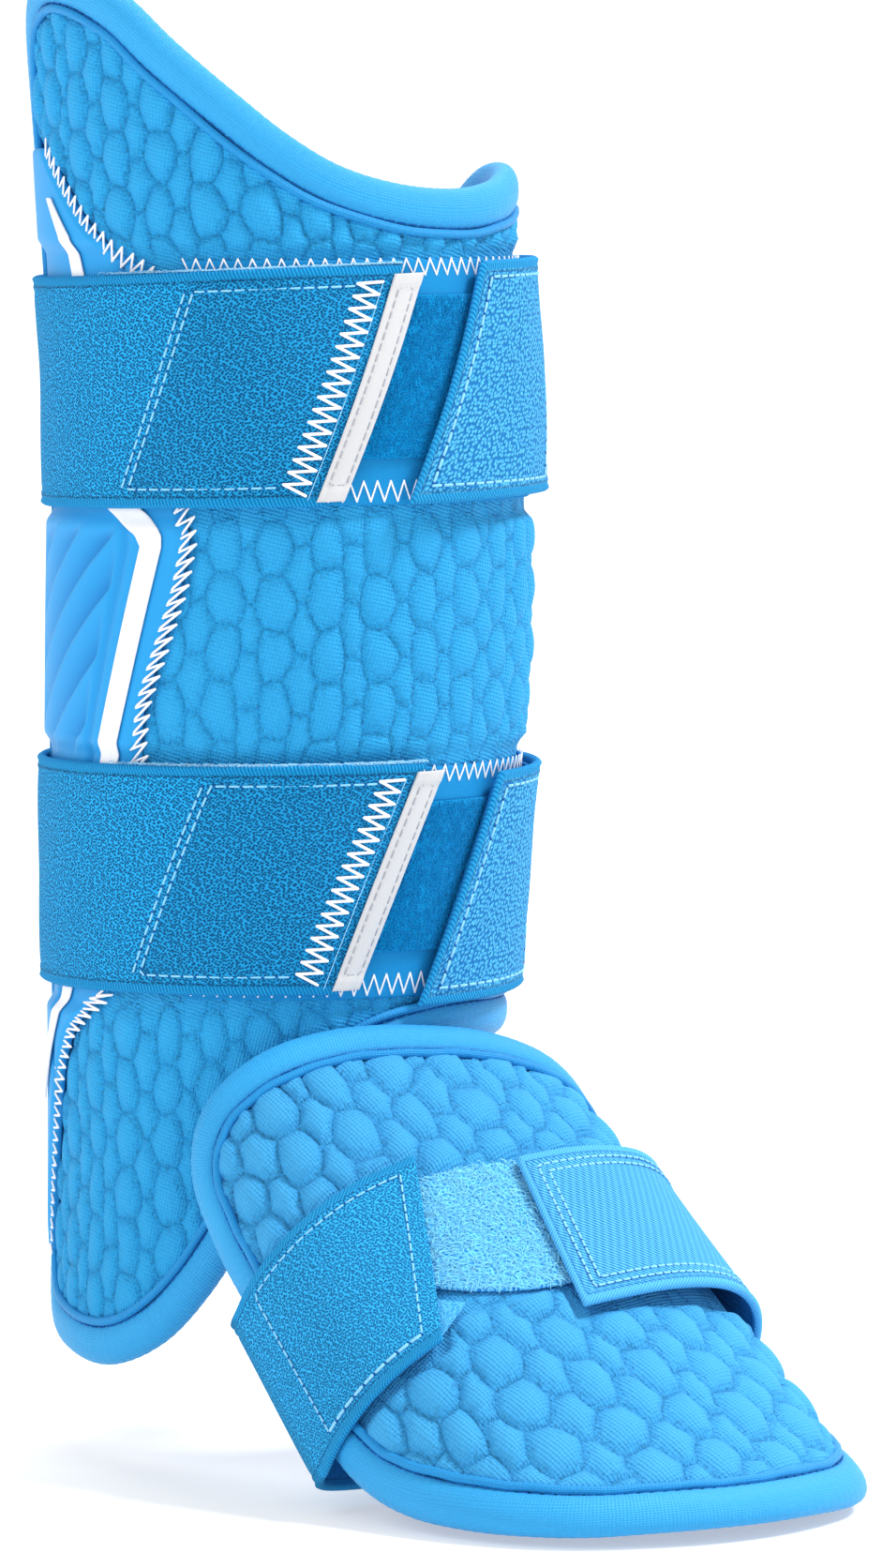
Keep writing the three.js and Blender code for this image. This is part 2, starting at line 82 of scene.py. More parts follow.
def throughRows(rows, column, at):
    # smooth curve through one column of a table, read by the table's first column
    table = np.array(rows, float)
    x, y = table[:, 0], table[:, column]
    slope = np.diff(y) / np.diff(x)
    lean = np.concatenate((slope[:1], (slope[1:] + slope[:-1]) / 2, slope[-1:]))
    at = np.clip(at, x[0], x[-1])
    k = np.clip(np.searchsorted(x, at, side='right') - 1, 0, len(x) - 2)
    gap = x[k + 1] - x[k]
    t = (at - x[k]) / gap
    near = (y[k] * (1 + 2 * t) + lean[k] * gap * t) * (1 - t) ** 2
    far = (y[k + 1] * (3 - 2 * t) + lean[k + 1] * gap * (t - 1)) * t ** 2
    return near + far


def betweenRows(rows, column, at):
    table = np.array(rows, float)
    return np.interp(at, table[:, 0], table[:, column])


def onShin(girth, height, rise):
    girth, height, rise = np.broadcast_arrays(girth, height, rise)
    behind = throughRows(shin['sections'], 1, height)
    radius = throughRows(shin['sections'], 2, height) + rise
    turn = girth / shin['girthRadius']
    spot = (radius * np.sin(turn), behind - radius * np.cos(turn), height - shin['originHeight'])
    return np.stack(spot, -1) * mm


def footArch(across, along, rise):
    # sideways from the foot's ridge and up from it
    far = np.abs(across)
    crownLean = np.minimum(far, foot['crownHalf']) / foot['crownRadius']
    lean = crownLean + np.maximum(far - foot['crownHalf'], 0) / foot['sideRadius']
    out = foot['crownRadius'] * np.sin(crownLean) + foot['sideRadius'] * (np.sin(lean) - np.sin(crownLean))
    drop = foot['crownRadius'] * (1 - np.cos(crownLean))
    drop = drop + foot['sideRadius'] * (np.cos(crownLean) - np.cos(lean))
    flare = 1 + foot['flare'] * along / foot['length']
    proud = rise - foot['crownRise']
    return np.sign(across) * (out * flare + proud * np.sin(lean)), proud * np.cos(lean) - drop * flare


def onFootPlane(sideways, up, along):
    bend = (foot['toeSlope'] - foot['ankleSlope']) / foot['length']
    slope = foot['ankleSlope'] + bend * along
    y = foot['ridgeY'] - (np.sin(slope) - math.sin(foot['ankleSlope'])) / bend
    z = foot['ridgeZ'] + (np.cos(slope) - math.cos(foot['ankleSlope'])) / bend
    spot = (sideways, y - up * np.sin(slope), z + up * np.cos(slope) - shin['originHeight'])
    return np.stack(spot, -1) * mm


def onFoot(across, along, rise):
    across, along, rise = np.broadcast_arrays(across, along, rise)
    sideways, up = footArch(across, along, rise)
    return onFootPlane(sideways, up, along)


def softStep(value, low, high):
    t = np.clip((value - low) / (high - low), 0, 1)
    return t * t * (3 - 2 * t)


def mixed(low, high, share):
    return low + (high - low) * share


def hump(value, middle, width):
    return np.exp(-((value - middle) / width) ** 2)


def unit(vectors):
    return vectors / np.maximum(np.linalg.norm(vectors, axis=-1, keepdims=True), 1e-12)


def runLength(points):
    # distance along a line at each of its points
    return np.concatenate(([0], np.cumsum(np.linalg.norm(np.diff(points, axis=0), axis=1))))


def readAlong(at, run, points):
    return np.stack([np.interp(at, run, column) for column in points.T], 1)


def ripples(u, v, wave, count=5):
    # smooth unevenness from a few crossing waves, about -1 to 1
    total = 0
    for _ in range(count):
        turn, phase, stretch = dice.uniform((0, 0, 0.7), (math.tau, math.tau, 1.5))
        total = total + np.sin((u * math.cos(turn) + v * math.sin(turn)) * math.tau / wave / stretch + phase)
    return total / math.sqrt(count * 2)


# Closed edges of the two pads, clockwise

shinEdgeRows = (
    (-5, 359.7), (16, 358), (40, 360), (68, 364.5), (90, 363), (105, 353), (111, 336),
    (112, 240), (110, 168), (104, 151), (88, 144), (55, 143.8), (8, 144),
    (-16, 138), (-36, 119), (-50, 96), (-63, 78), (-77, 65.5), (-95, 59), (-115, 60),
    (-132, 64.5), (-143, 77), (-148, 100), (-152, 180), (-152, 260), (-147, 330), (-140, 385),
    (-131, 407), (-116, 416), (-99, 415.5), (-83.6, 409), (-70, 398), (-52.5, 384.2), (-38, 373.1),
    (-23, 364.7),
)
# half width, place along the foot, and how far the left side sits back and the right side forward
footEdgeRows = (
    (30, -10, 3.5), (54, -7.5, 6), (70, -3, 7), (80, 6, 7), (84, 22, 5), (83.5, 50, 2),
    (82.5, 84, 0), (77, 107, 0), (63, 130, 0), (43, 150, 0), (22, 159.5, 0),
)
footEdgeEnds = {'ankle': -9.5, 'toe': 163}


def closedEdge(points, samples=30):
    # smooth closed line through the points, with its inward directions and shares of its length
    here = np.array(points, float)
    before, after, beyond = (np.roll(here, shift, 0) for shift in (1, -1, -2))

    def gap(a, b):
        return np.linalg.norm(b - a, axis=1)[:, None] ** 0.5

    first, middle, last = gap(before, here), gap(here, after), gap(after, beyond)
    leave = (here - before) / first - (after - before) / (first + middle) + (after - here) / middle
    reach = (after - here) / middle - (beyond - here) / (middle + last) + (beyond - after) / last
    leave, reach = (leave * middle)[:, None], (reach * middle)[:, None]
    t = np.linspace(0, 1, samples, endpoint=False)[None, :, None]
    near = here[:, None] * (1 + 2 * t) * (1 - t) ** 2 + leave * t * (1 - t) ** 2
    far = after[:, None] * t * t * (3 - 2 * t) + reach * t * t * (t - 1)
    line = (near + far).reshape(-1, 2)
    tangent = unit(np.roll(line, -1, 0) - np.roll(line, 1, 0))
    inward = np.stack((tangent[:, 1], -tangent[:, 0]), 1)
    line, inward = (np.concatenate((part, part[:1])) for part in (line, inward))
    run = runLength(line)
    return {'line': line, 'inward': inward, 'share': run / run[-1], 'length': run[-1]}


def alongEdge(edge, share, inset):
    # flat places at shares of an edge's length, moved inwards by the inset
    place, move = (readAlong(share, edge['share'], edge[part]).T for part in ('line', 'inward'))
    return place + inset * move


shinEdge = closedEdge(shinEdgeRows)
footEdge = closedEdge(
    [(0, footEdgeEnds['ankle'])]
    + [(-half, along - slant) for half, along, slant in footEdgeRows]
    + [(0, footEdgeEnds['toe'])]
    + [(half, along + slant) for half, along, slant in reversed(footEdgeRows)]
)


# Mesh helpers

def meshPoints(mesh):
    flat = np.zeros(len(mesh.vertices) * 3)
    mesh.vertices.foreach_get('co', flat)
    return flat.reshape(-1, 3)


def setPoints(mesh, points):
    mesh.vertices.foreach_set('co', np.ascontiguousarray(points, np.float32).ravel())
    mesh.update()


def gridMesh(columns, rows):
    # flat grid, and the share along its columns and rows of every vertex
    bm = bmesh.new()
    bmesh.ops.create_grid(bm, x_segments=columns, y_segments=rows, size=0.5)
    mesh = bpy.data.meshes.new('sheet')
    bm.to_mesh(mesh)
    bm.free()
    shares = meshPoints(mesh) + 0.5
    return mesh, shares[:, 0], shares[:, 1]


def setWeave(mesh, u, v):
    # the cloth's own map, in millimetres of the flat cut
    layer = mesh.uv_layers.new(name='weave')
    corner = np.zeros(len(mesh.loops), np.int32)
    mesh.loops.foreach_get('vertex_index', corner)
    layer.data.foreach_set('uv', np.stack((u, v), 1)[corner].astype(np.float32).ravel())


def getWeave(mesh):
    corners = np.empty(2 * len(mesh.loops), np.float32)
    mesh.uv_layers['weave'].data.foreach_get('uv', corners)
    vertices = np.empty(len(mesh.loops), np.int32)
    mesh.loops.foreach_get('vertex_index', vertices)
    places = np.zeros((len(mesh.vertices), 2))
    places[vertices] = corners.reshape(-1, 2)
    return places.T


def setShare(mesh, name, values):
    layer = mesh.attributes.new(name, 'FLOAT', 'POINT')
    layer.data.foreach_set('value', np.asarray(values, np.float32))


def getShare(mesh, name):
    values = np.zeros(len(mesh.vertices), np.float32)
    mesh.attributes[name].data.foreach_get('value', values)
    return values.astype(float)


def addPiece(name, mesh, finish, slot, replaced=()):
    mesh.name = name
    mesh.shade_smooth()
    mesh.materials.append(finish)
    piece = bpy.data.objects.new(name, mesh)
    scene.collection.objects.link(piece)
    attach(piece, 'root')
    if replaced:
        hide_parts(*replaced)
    return piece


def closeMesh(mesh, merge=0.002 * mm):
    bm = bmesh.new()
    bm.from_mesh(mesh)
    bmesh.ops.remove_doubles(bm, verts=bm.verts, dist=merge)
    bmesh.ops.recalc_face_normals(bm, faces=bm.faces)
    bm.to_mesh(mesh)
    bm.free()


def bandRing(width, thick, faceSteps):
    # outline of a flat band's section: across it and through it
    half = thick / 2
    face = np.linspace(half - width / 2, width / 2 - half, faceSteps + 1)
    arc = np.linspace(0, math.pi, 7)[1:-1]
    rim = width / 2 - half + half * np.sin(arc)
    across = np.concatenate((face, rim, face[::-1], -rim, face[:1]))
    flat = np.full(len(face), half)
    through = np.concatenate((flat, half * np.cos(arc), -flat, -half * np.cos(arc), flat[:1]))
    return across, through


def bandLine(length, thick, step):
    # places along a band with rounded ends, and the share of its thickness there
    arc = np.linspace(0, math.pi / 2, 4)[:-1]
    tip = thick / 2 * (1 - np.cos(arc))
    body = np.linspace(thick / 2, length - thick / 2, max(2, math.ceil(length / step)))
    along = np.concatenate((tip, body, length - tip[::-1]))
    full = np.concatenate((np.sin(arc), np.ones(len(body)), np.sin(arc[::-1])))
    return along, full


def band(name, size, steps, place, finish, slot, replaced=()):
    # closed flat band; place takes distances along it, across from its middle and through it
    length, width, thick = size
    across, through = bandRing(width, thick, max(2, math.ceil(width / steps[1])))
    along, full = bandLine(length, thick, steps[0])
    mesh, u, v = gridMesh(len(along) - 1, len(across) - 1)
    column = np.rint(u * (len(along) - 1)).astype(int)
    row = np.rint(v * (len(across) - 1)).astype(int)
    setPoints(mesh, place(along[column], across[row], through[row] * full[column]))
    setWeave(mesh, along[column], across[row] + width / 2)
    closeMesh(mesh)
    return addPiece(name, mesh, finish, slot, replaced)


def runOn(surface, corners, rise, step=0.5):
    # a line over a surface through flat corners: its points and the surface's directions out
    corners = np.array(corners, float)
    run = runLength(corners)
    at = np.linspace(0, run[-1], max(2, math.ceil(run[-1] / step)))
    u, v = readAlong(at, run, corners).T
    lift = rise(u, v) if callable(rise) else rise
    points = surface(u, v, lift)
    return points, unit(surface(u, v, lift + 1) - points)


def dashes(run, pitch, share=0.62, first=0.5):
    # straight stitches spaced along a run: their starts, ends and directions out
    points, out = run
    run = runLength(points)
    count = max(1, round(run[-1] / (pitch * mm)))
    middle = (np.arange(count) + first) * run[-1] / count
    half = share * run[-1] / count / 2
    starts, ends = (readAlong(middle + way * half, run, points) for way in (-1, 1))
    return starts, ends, unit(readAlong(middle, run, out))


def zigzag(surface, left, right, rise, count):
    # legs that cross between two flat rails, each given by its corners
    def rail(corners):
        corners = np.array(corners, float)
        run = runLength(corners)
        return readAlong(np.linspace(0, run[-1], count + 1), run, corners)

    tips = np.where(np.arange(count + 1)[:, None] % 2 == 0, rail(left), rail(right))
    lift = rise(tips[:, 0], tips[:, 1]) if callable(rise) else rise
    points = surface(tips[:, 0], tips[:, 1], lift)
    out = unit(surface(tips[:, 0], tips[:, 1], lift + 1) - points)
    return points[:-1], points[1:], unit(out[:-1] + out[1:])


def copiesMesh(name, shape, points):
    # joins moved copies of one small shape into a mesh; points is copies x vertices x 3
    faces = [[vertex.index for vertex in face.verts] for face in shape.faces]
    count = len(shape.verts)
    joined = [[k + copy * count for k in face] for copy in range(len(points)) for face in faces]
    mesh = bpy.data.meshes.new(name)
    mesh.from_pydata(points.reshape(-1, 3).tolist(), [], joined)
    return mesh


def stitchPiece(name, groups, radius, finish, slot, flat=0.75):
    # every stitch is a small round-ended bar, sunk a little into the cloth
    starts, ends, out = (np.concatenate([group[k] for group in groups]) for k in range(3))
    bm = bmesh.new()
    bmesh.ops.create_uvsphere(bm, u_segments=6, v_segments=5, radius=1)
    bm.verts.ensure_lookup_table()
    x, y, z = np.array([vertex.co for vertex in bm.verts]).T
    line = unit(ends - starts)
    side = unit(np.cross(line, out))
    thick = radius * mm
    half = np.linalg.norm(ends - starts, axis=1)[:, None] / 2
    reach = z * thick + np.sign(z) * half
    points = ((starts + ends) / 2)[:, None] + side[:, None] * (x * thick)[None, :, None]
    points = points + out[:, None] * (y * thick * flat)[None, :, None] + line[:, None] * reach[:, :, None]
    mesh = copiesMesh(name, bm, points)
    bm.free()
    closeMesh(mesh, 0)
    addPiece(name, mesh, finish, slot)


def fibrePiece(name, roots, out, along, sizes, finish, slot):
    # small arched fibres that stand on a pile: roots, directions out and along, and (reach, height, radius)
    reach, height, radius = sizes
    bm = bmesh.new()
    bmesh.ops.create_cone(bm, segments=3, radius1=1, radius2=1, depth=1, cap_ends=False)
    uprights = [edge for edge in bm.edges if abs(edge.verts[0].co.z - edge.verts[1].co.z) > 0.5]
    bmesh.ops.subdivide_edges(bm, edges=uprights, cuts=3, use_grid_fill=True)
    bm.verts.index_update()
    bm.verts.ensure_lookup_table()
    x, y, z = np.array([vertex.co for vertex in bm.verts]).T
    side = unit(np.cross(out, along))
    share = z + 0.5
    arch = height[:, None] * (4 * share * (1 - share))[None]
    slim = radius[:, None] * mm
    points = roots[:, None] + along[:, None] * ((reach[:, None] * z[None]) * mm)[:, :, None]
    points = points + out[:, None] * (arch * mm + slim * y[None])[:, :, None]
    points = points + side[:, None] * (slim * x[None])[:, :, None]
    mesh = copiesMesh(name, bm, points)
    bm.free()
    addPiece(name, mesh, finish, slot)


# Finishes

def srgb(red, green, blue):
    # a screen colour, 0 to 255, as a shader colour
    shares = [part / 255 for part in (red, green, blue)]
    return (*[p / 12.92 if p <= 0.04045 else ((p + 0.055) / 1.055) ** 2.4 for p in shares], 1)


def mixColour(first, second, share):
    return tuple(mixed(a, b, share) for a, b in zip(first, second))


def newFinish(name, roughness, specular, sheen=0):
    finish = bpy.data.materials.new(name)
    finish.use_nodes = True
    tree = finish.node_tree
    shader = tree.nodes['Principled BSDF']
    shader.inputs['Roughness'].default_value = roughness
    shader.inputs['Specular IOR Level'].default_value = specular
    shader.inputs['Sheen Weight'].default_value = sheen
    shader.inputs['Sheen Roughness'].default_value = 0.5

    def add(kind, values=None, **settings):
        node = tree.nodes.new('ShaderNode' + kind)
        for key, value in settings.items():
            setattr(node, key, value)
        for key, value in (values or {}).items():
            if isinstance(value, bpy.types.NodeSocket):
                tree.links.new(value, node.inputs[key])
            else:
                node.inputs[key].default_value = value
        return node.outputs[0]

    def wear(socket, value):
        tree.links.new(value, shader.inputs[socket])

    return finish, add, wear


def weaveMap(add, turn=0, scale=(1, 1, 1)):
    # the cloth's own map in millimetres, turned by some degrees
    cloth = add('UVMap', uv_map='weave')
    if not turn:
        return cloth
    return add('Mapping', {'Vector': cloth, 'Rotation': (0, 0, math.radians(turn)), 'Scale': scale})


def painted(add, name):
    # a share kept on the mesh's own points
    return add('Attribute', attribute_name=name).node.outputs['Fac']


def bands(add, vector, period, direction, distortion=0.0):
    # fine parallel lines with a period in the map's units
    values = {'Vector': vector, 'Scale': math.pi / 10 / period, 'Distortion': distortion, 'Detail': 1.0}
    return add('TexWave', values, wave_type='BANDS', bands_direction=direction)


def noise(add, vector, scale, detail, distortion=0.0):
    values = {'Vector': vector, 'Scale': scale, 'Detail': detail, 'Distortion': distortion}
    return add('TexNoise', values, noise_dimensions='2D')


def cells(add, vector, scale, unevenness, feature='F1'):
    # uneven cells, read from their middles or from their edges
    values = {'Vector': vector, 'Scale': scale, 'Randomness': unevenness}
    return add('TexVoronoi', values, voronoi_dimensions='2D', feature=feature)


def sums(add, first, second, operation='ADD'):
    return add('Math', {0: first, 1: second}, operation=operation)


def times(add, first, second):
    return sums(add, first, second, 'MULTIPLY')


def fit(add, value, low, high, first=0.0, last=1.0):
    # runs from first to last while the value runs from low to high
    values = {'Value': value, 'From Min': low, 'From Max': high, 'To Min': first, 'To Max': last}
    return add('MapRange', values)


def blend(add, share, first, second, kind='MIX'):
    return add('MixRGB', {'Fac': share, 'Color1': first, 'Color2': second}, blend_type=kind)


def rampOf(add, factor, stops):
    # colour ramp through (place, colour) stops
    out = add('ValToRGB', {'Fac': factor})
    ramp = out.node.color_ramp
    while len(ramp.elements) < len(stops):
        ramp.elements.new(0.5)
    for element, (place, colour) in zip(ramp.elements, stops):
        element.position = place
        element.color = colour
    return out


def blotches(add, scale, detail=2.0):
    # broad unevenness over the whole piece
    place = add('TexCoord').node.outputs['Object']
    return add('TexNoise', {'Vector': place, 'Scale': scale, 'Detail': detail})


def shaded(add, colour, factor, dark, amount):
    # darkens a colour where a factor is low
    return blend(add, fit(add, factor, 0.0, 1.0, amount, 0.0), colour, dark)


def emboss(add, wear, height, strength, depth):
    wear('Normal', add('Bump', {'Height': height, 'Strength': strength, 'Distance': depth * mm}))


def quiltFinish(name, deep, low, high):
    # woven face with a close grain, painted shade along the seams and painted light on the crowns, dark dots
    # of painted shade for the needle holes along the seams, and puckers beside them
    finish, add, wear = newFinish(name, 0.7, 0.18, 0.03)
    crown = painted(add, 'crown')
    cloth, turned = weaveMap(add), weaveMap(add, 14)
    # painted shade and light: the tone runs from darker at the seams to lighter on the crowns
    tone = rampOf(add, crown, ((0.0, low), (0.35, mixColour(low, high, 0.6)), (1.0, high)))
    grain = sums(add, bands(add, turned, 0.9, 'X', 1.4), bands(add, turned, 1.0, 'Y', 1.4))
    tone = shaded(add, tone, times(add, grain, 0.5), deep, 0.36)
    tone = shaded(add, tone, blotches(add, 26), low, 0.4)
    # painted shade: dark dots for the needle holes near the seams
    near = fit(add, crown, 0.03, 0.15, 1.0, 0.0)
    holeShade = fit(add, cells(add, cloth, 0.8, 0.7), 0.2, 0.5, 0.36, 0.0)
    wear('Base Color', blend(add, times(add, near, holeShade), tone, deep))
    pucker = fit(add, crown, 0.0, 0.6, 1.0, 0.15)
    folds = times(add, noise(add, cloth, 0.6, 2.0, 1.0), pucker)
    emboss(add, wear, sums(add, times(add, grain, 0.12), folds), 1.0, 1.3)
    return finish


def liningFinish():
    finish, add, wear = newFinish('liningTricot', 0.9, 0.1, 0.05)
    cloth = weaveMap(add)
    knit = times(add, bands(add, cloth, 1.1, 'X', 0.6), bands(add, cloth, 0.9, 'Y', 0.6))
    tone = blend(add, knit, srgb(24, 120, 190), srgb(46, 156, 222))
    wear('Base Color', shaded(add, tone, blotches(add, 18), srgb(22, 118, 190), 0.5))
    emboss(add, wear, knit, 0.5, 0.2)
    return finish


def rollFinish(name, light, dark):
    # coated cloth with a fine grain along the roll
    finish, add, wear = newFinish(name, 0.48, 0.24, 0.03)
    cloth = weaveMap(add)
    lines = bands(add, cloth, 0.6, 'Y', 1.5)
    tone = shaded(add, light, lines, dark, 0.25)
    wear('Base Color', shaded(add, tone, blotches(add, 22), dark, 0.5))
    creases = sums(add, bands(add, cloth, 0.85, 'X', 2.4), lines)
    emboss(add, wear, sums(add, creases, noise(add, cloth, 1.6, 3.0)), 0.9, 0.1)
    return finish


def panelFinish():
    # smooth moulded cloth, with painted shade in its hollows
    finish, add, wear = newFinish('panelSatin', 0.5, 0.16, 0.03)
    grain = noise(add, weaveMap(add), 2.6, 3.0)
    tone = shaded(add, srgb(42, 158, 224), grain, srgb(30, 142, 210), 0.3)
    tone = shaded(add, tone, blotches(add, 20), srgb(32, 144, 212), 0.4)
    # painted shade: darker where the flutes and the channel sink
    wear('Base Color', blend(add, times(add, painted(add, 'sunk'), 0.75), tone, srgb(10, 112, 184)))
    emboss(add, wear, grain, 0.3, 0.1)
    return finish


def whiteFinish(name, roughness, light, tint):
    finish, add, wear = newFinish(name, roughness, 0.25)
    grain = noise(add, weaveMap(add), 1.3, 4.0)
    wear('Base Color', shaded(add, light, grain, tint, 0.5))
    emboss(add, wear, grain, 0.35, 0.1)
    return finish


def selvedged(add, cloth, size, tone, relief, tones):
    # ribbed border and its groove along a strap's sides and free end, with painted shade in the groove
    spot = add('SeparateXYZ', {'Vector': cloth}).node.outputs
    sides = sums(add, spot['Y'], sums(add, size[1], spot['Y'], 'SUBTRACT'), 'MINIMUM')
    end = sums(add, size[0] + 1.2, spot['X'], 'SUBTRACT')          # the border is narrower at the end
    edge = sums(add, sides, end, 'MINIMUM')
    border = fit(add, edge, 2.2, 2.7, 1.0, 0.0)
    ribs = bands(add, weaveMap(add, 40), 0.75, 'X', 0.5)
    groove = sums(add, sums(add, edge, 2.9, 'SUBTRACT'), 0.0, 'ABSOLUTE')
    tone = blend(add, border, tone, blend(add, ribs, tones[1], tones[0]))
    # painted shade: the groove is darkened towards the deep tone
    tone = blend(add, fit(add, groove, 0.0, 0.5, 0.6, 0.0), tone, tones[2])
    return tone, blend(add, border, relief, ribs)


def elasticFinish(name, size, boxEnd, tabStart, tones, tabTones, cell=0.86):
    # knitted elastic with small pits, darker inside the stitched box, pebbled on its tab
    finish, add, wear = newFinish(name, 0.85, 0.12, 0.03)
    cloth, turned = weaveMap(add), weaveMap(add, -28, (1.0, 1.25, 1.0))
    pits = fit(add, cells(add, turned, 1 / cell, 0.7), 0.1, 0.48)
    pebbles = fit(add, cells(add, cloth, 0.86, 0.8), 0.2, 0.6, 1.0, 0.0)
    threads = times(add, noise(add, turned, 1.6, 2.0), 0.6)
    colours, heights = [], []
    for pattern, (light, dark, pit) in ((pits, tones), (pebbles, tabTones)):
        heights.append(sums(add, pattern, threads))
        share = fit(add, heights[-1], 0.25, 1.3)
        colours.append(rampOf(add, share, ((0.0, pit), (0.5, dark), (1.0, light))))
    along = add('SeparateXYZ', {'Vector': cloth})
    onTab = fit(add, along, tabStart, tabStart + 20)
    tone = blend(add, fit(add, along, boxEnd, boxEnd + 1.5, 0.2, 0.0), colours[0], tones[2])
    tone, relief = blend(add, onTab, tone, colours[1]), blend(add, onTab, *heights)
    tone, relief = selvedged(add, cloth, size, tone, relief, tones)
    tone = blend(add, times(add, onTab, 0.08), tone, tabTones[0])
    wear('Base Color', shaded(add, tone, blotches(add, 30, 3.0), tones[1], 0.3))
    emboss(add, wear, relief, 1.0, 0.45)
    return finish


def twillFinish(name, size, tones):
    # short slanted ribs of the right foot tab, crossed by fine columns
    finish, add, wear = newFinish(name, 0.8, 0.15, 0.03)
    columns = bands(add, weaveMap(add, 20), 2.2, 'X', 1.0)
    relief = sums(add, bands(add, weaveMap(add, -49), 0.9, 'X', 1.2), times(add, columns, 0.25))
    share = fit(add, relief, 0.1, 1.15)
    tone = rampOf(add, share, ((0.0, tones[2]), (0.45, tones[1]), (1.0, tones[0])))
    tone, relief = selvedged(add, weaveMap(add), size, tone, relief, tones)
    wear('Base Color', shaded(add, tone, blotches(add, 24), tones[1], 0.3))
    emboss(add, wear, relief, 0.6, 0.25)
    return finish


def pileFinish(name, light, dark, cell):
    # brushed loop pile: a web of strands over darker gaps
    finish, add, wear = newFinish(name, 0.95, 0.03, 0.06)
    cloth = weaveMap(add)
    fuzz = noise(add, cloth, 0.9, 4.0, 1.2)
    warped = blend(add, 0.5, cloth, fuzz.node.outputs['Color'], 'ADD')
    web = fit(add, cells(add, warped, 1 / cell, 1.0, 'DISTANCE_TO_EDGE'), 0.03, 0.3, 1.0, 0.0)
    nap = sums(add, times(add, web, 0.6), fuzz)
    wear('Base Color', blend(add, fit(add, nap, 0.35, 1.0), dark, light))
    emboss(add, wear, nap, 0.8, 0.4)
    return finish


def plainFinish(name, light, dark, roughness=0.8, period=0.7):
    # close plain weave, for tapes and hidden webbing
    finish, add, wear = newFinish(name, roughness, 0.15)
    cloth = weaveMap(add)
    threads = times(add, bands(add, cloth, period, 'X', 0.5), bands(add, cloth, period * 0.8, 'Y', 0.5))
    tone = shaded(add, light, threads, dark, 0.5)
    wear('Base Color', shaded(add, tone, blotches(add, 24), dark, 0.35))
    emboss(add, wear, threads, 0.4, 0.15)
    return finish


def threadFinish(name, light, dark):
    finish, add, wear = newFinish(name, 0.6, 0.2)
    wear('Base Color', shaded(add, light, blotches(add, 1800.0), dark, 0.7))
    return finish


# light, middle and deep tone of each woven strap
strapTones = (srgb(36, 176, 240), srgb(2, 123, 190), srgb(0, 34, 82))
tabTones = (srgb(100, 204, 250), srgb(44, 158, 226), srgb(2, 92, 166))
footTones = (srgb(52, 184, 246), srgb(18, 142, 212), srgb(0, 80, 146))
twillTones = (srgb(106, 196, 244), srgb(56, 156, 216), srgb(4, 86, 156))
# the foot's cloth is a lighter copy of the shin's cloth: painted light on the pad that faces up
shinCloth = quiltFinish('shinCloth', srgb(6, 108, 180), srgb(38, 160, 222), srgb(48, 170, 229))
footClothPaintedLight = quiltFinish('footClothPaintedLight', srgb(18, 114, 183), srgb(54, 158, 219), srgb(72, 175, 230))
liningTricot = liningFinish()
rollSatin = rollFinish('rollSatin', srgb(52, 170, 231), srgb(26, 138, 204))
pipingSatin = rollFinish('pipingSatin', srgb(34, 153, 219), srgb(16, 126, 196))
panelSatin = panelFinish()
stripeWhite = whiteFinish('stripeWhite', 0.55, srgb(240, 240, 242), srgb(224, 228, 234))
barCoating = whiteFinish('barCoating', 0.45, srgb(206, 206, 208), srgb(192, 193, 196))
baseCloth = plainFinish('baseCloth', srgb(28, 146, 208), srgb(14, 122, 186))
hookTape = plainFinish('hookTape', srgb(30, 138, 206), srgb(12, 104, 176), 0.9, 1.4)
footHookPile = pileFinish('footHookPile', srgb(96, 192, 244), srgb(44, 150, 218), 1.2)
webbing = plainFinish('webbing', srgb(38, 140, 206), srgb(18, 104, 172), 0.85, 1.6)
darkPile = pileFinish('darkPile', srgb(4, 150, 214), srgb(0, 106, 172), 0.9)
lightPile = pileFinish('lightPile', srgb(124, 216, 255), srgb(18, 132, 216), 1.3)
darkFibre = threadFinish('darkFibre', srgb(7, 156, 220), srgb(1, 130, 200))
lightFibre = threadFinish('lightFibre', srgb(156, 232, 255), srgb(112, 212, 255))
whiteThread = threadFinish('whiteThread', srgb(250, 250, 252), srgb(226, 230, 238))
paleThread = threadFinish('paleThread', srgb(150, 214, 248), srgb(104, 190, 240))
# dark thread for the bindings' stitches, and painted shade for the needle holes between pale stitches
holeShadeAndDarkThread = threadFinish('holeShadeAndDarkThread', srgb(10, 98, 172), srgb(4, 76, 146))
frayThread = threadFinish('frayThread', srgb(176, 226, 252), srgb(120, 200, 244))
greyThread = threadFinish('greyThread', srgb(176, 180, 190), srgb(140, 146, 158))
print('finishes made')


# Calf straps, with everything that lies under and on them

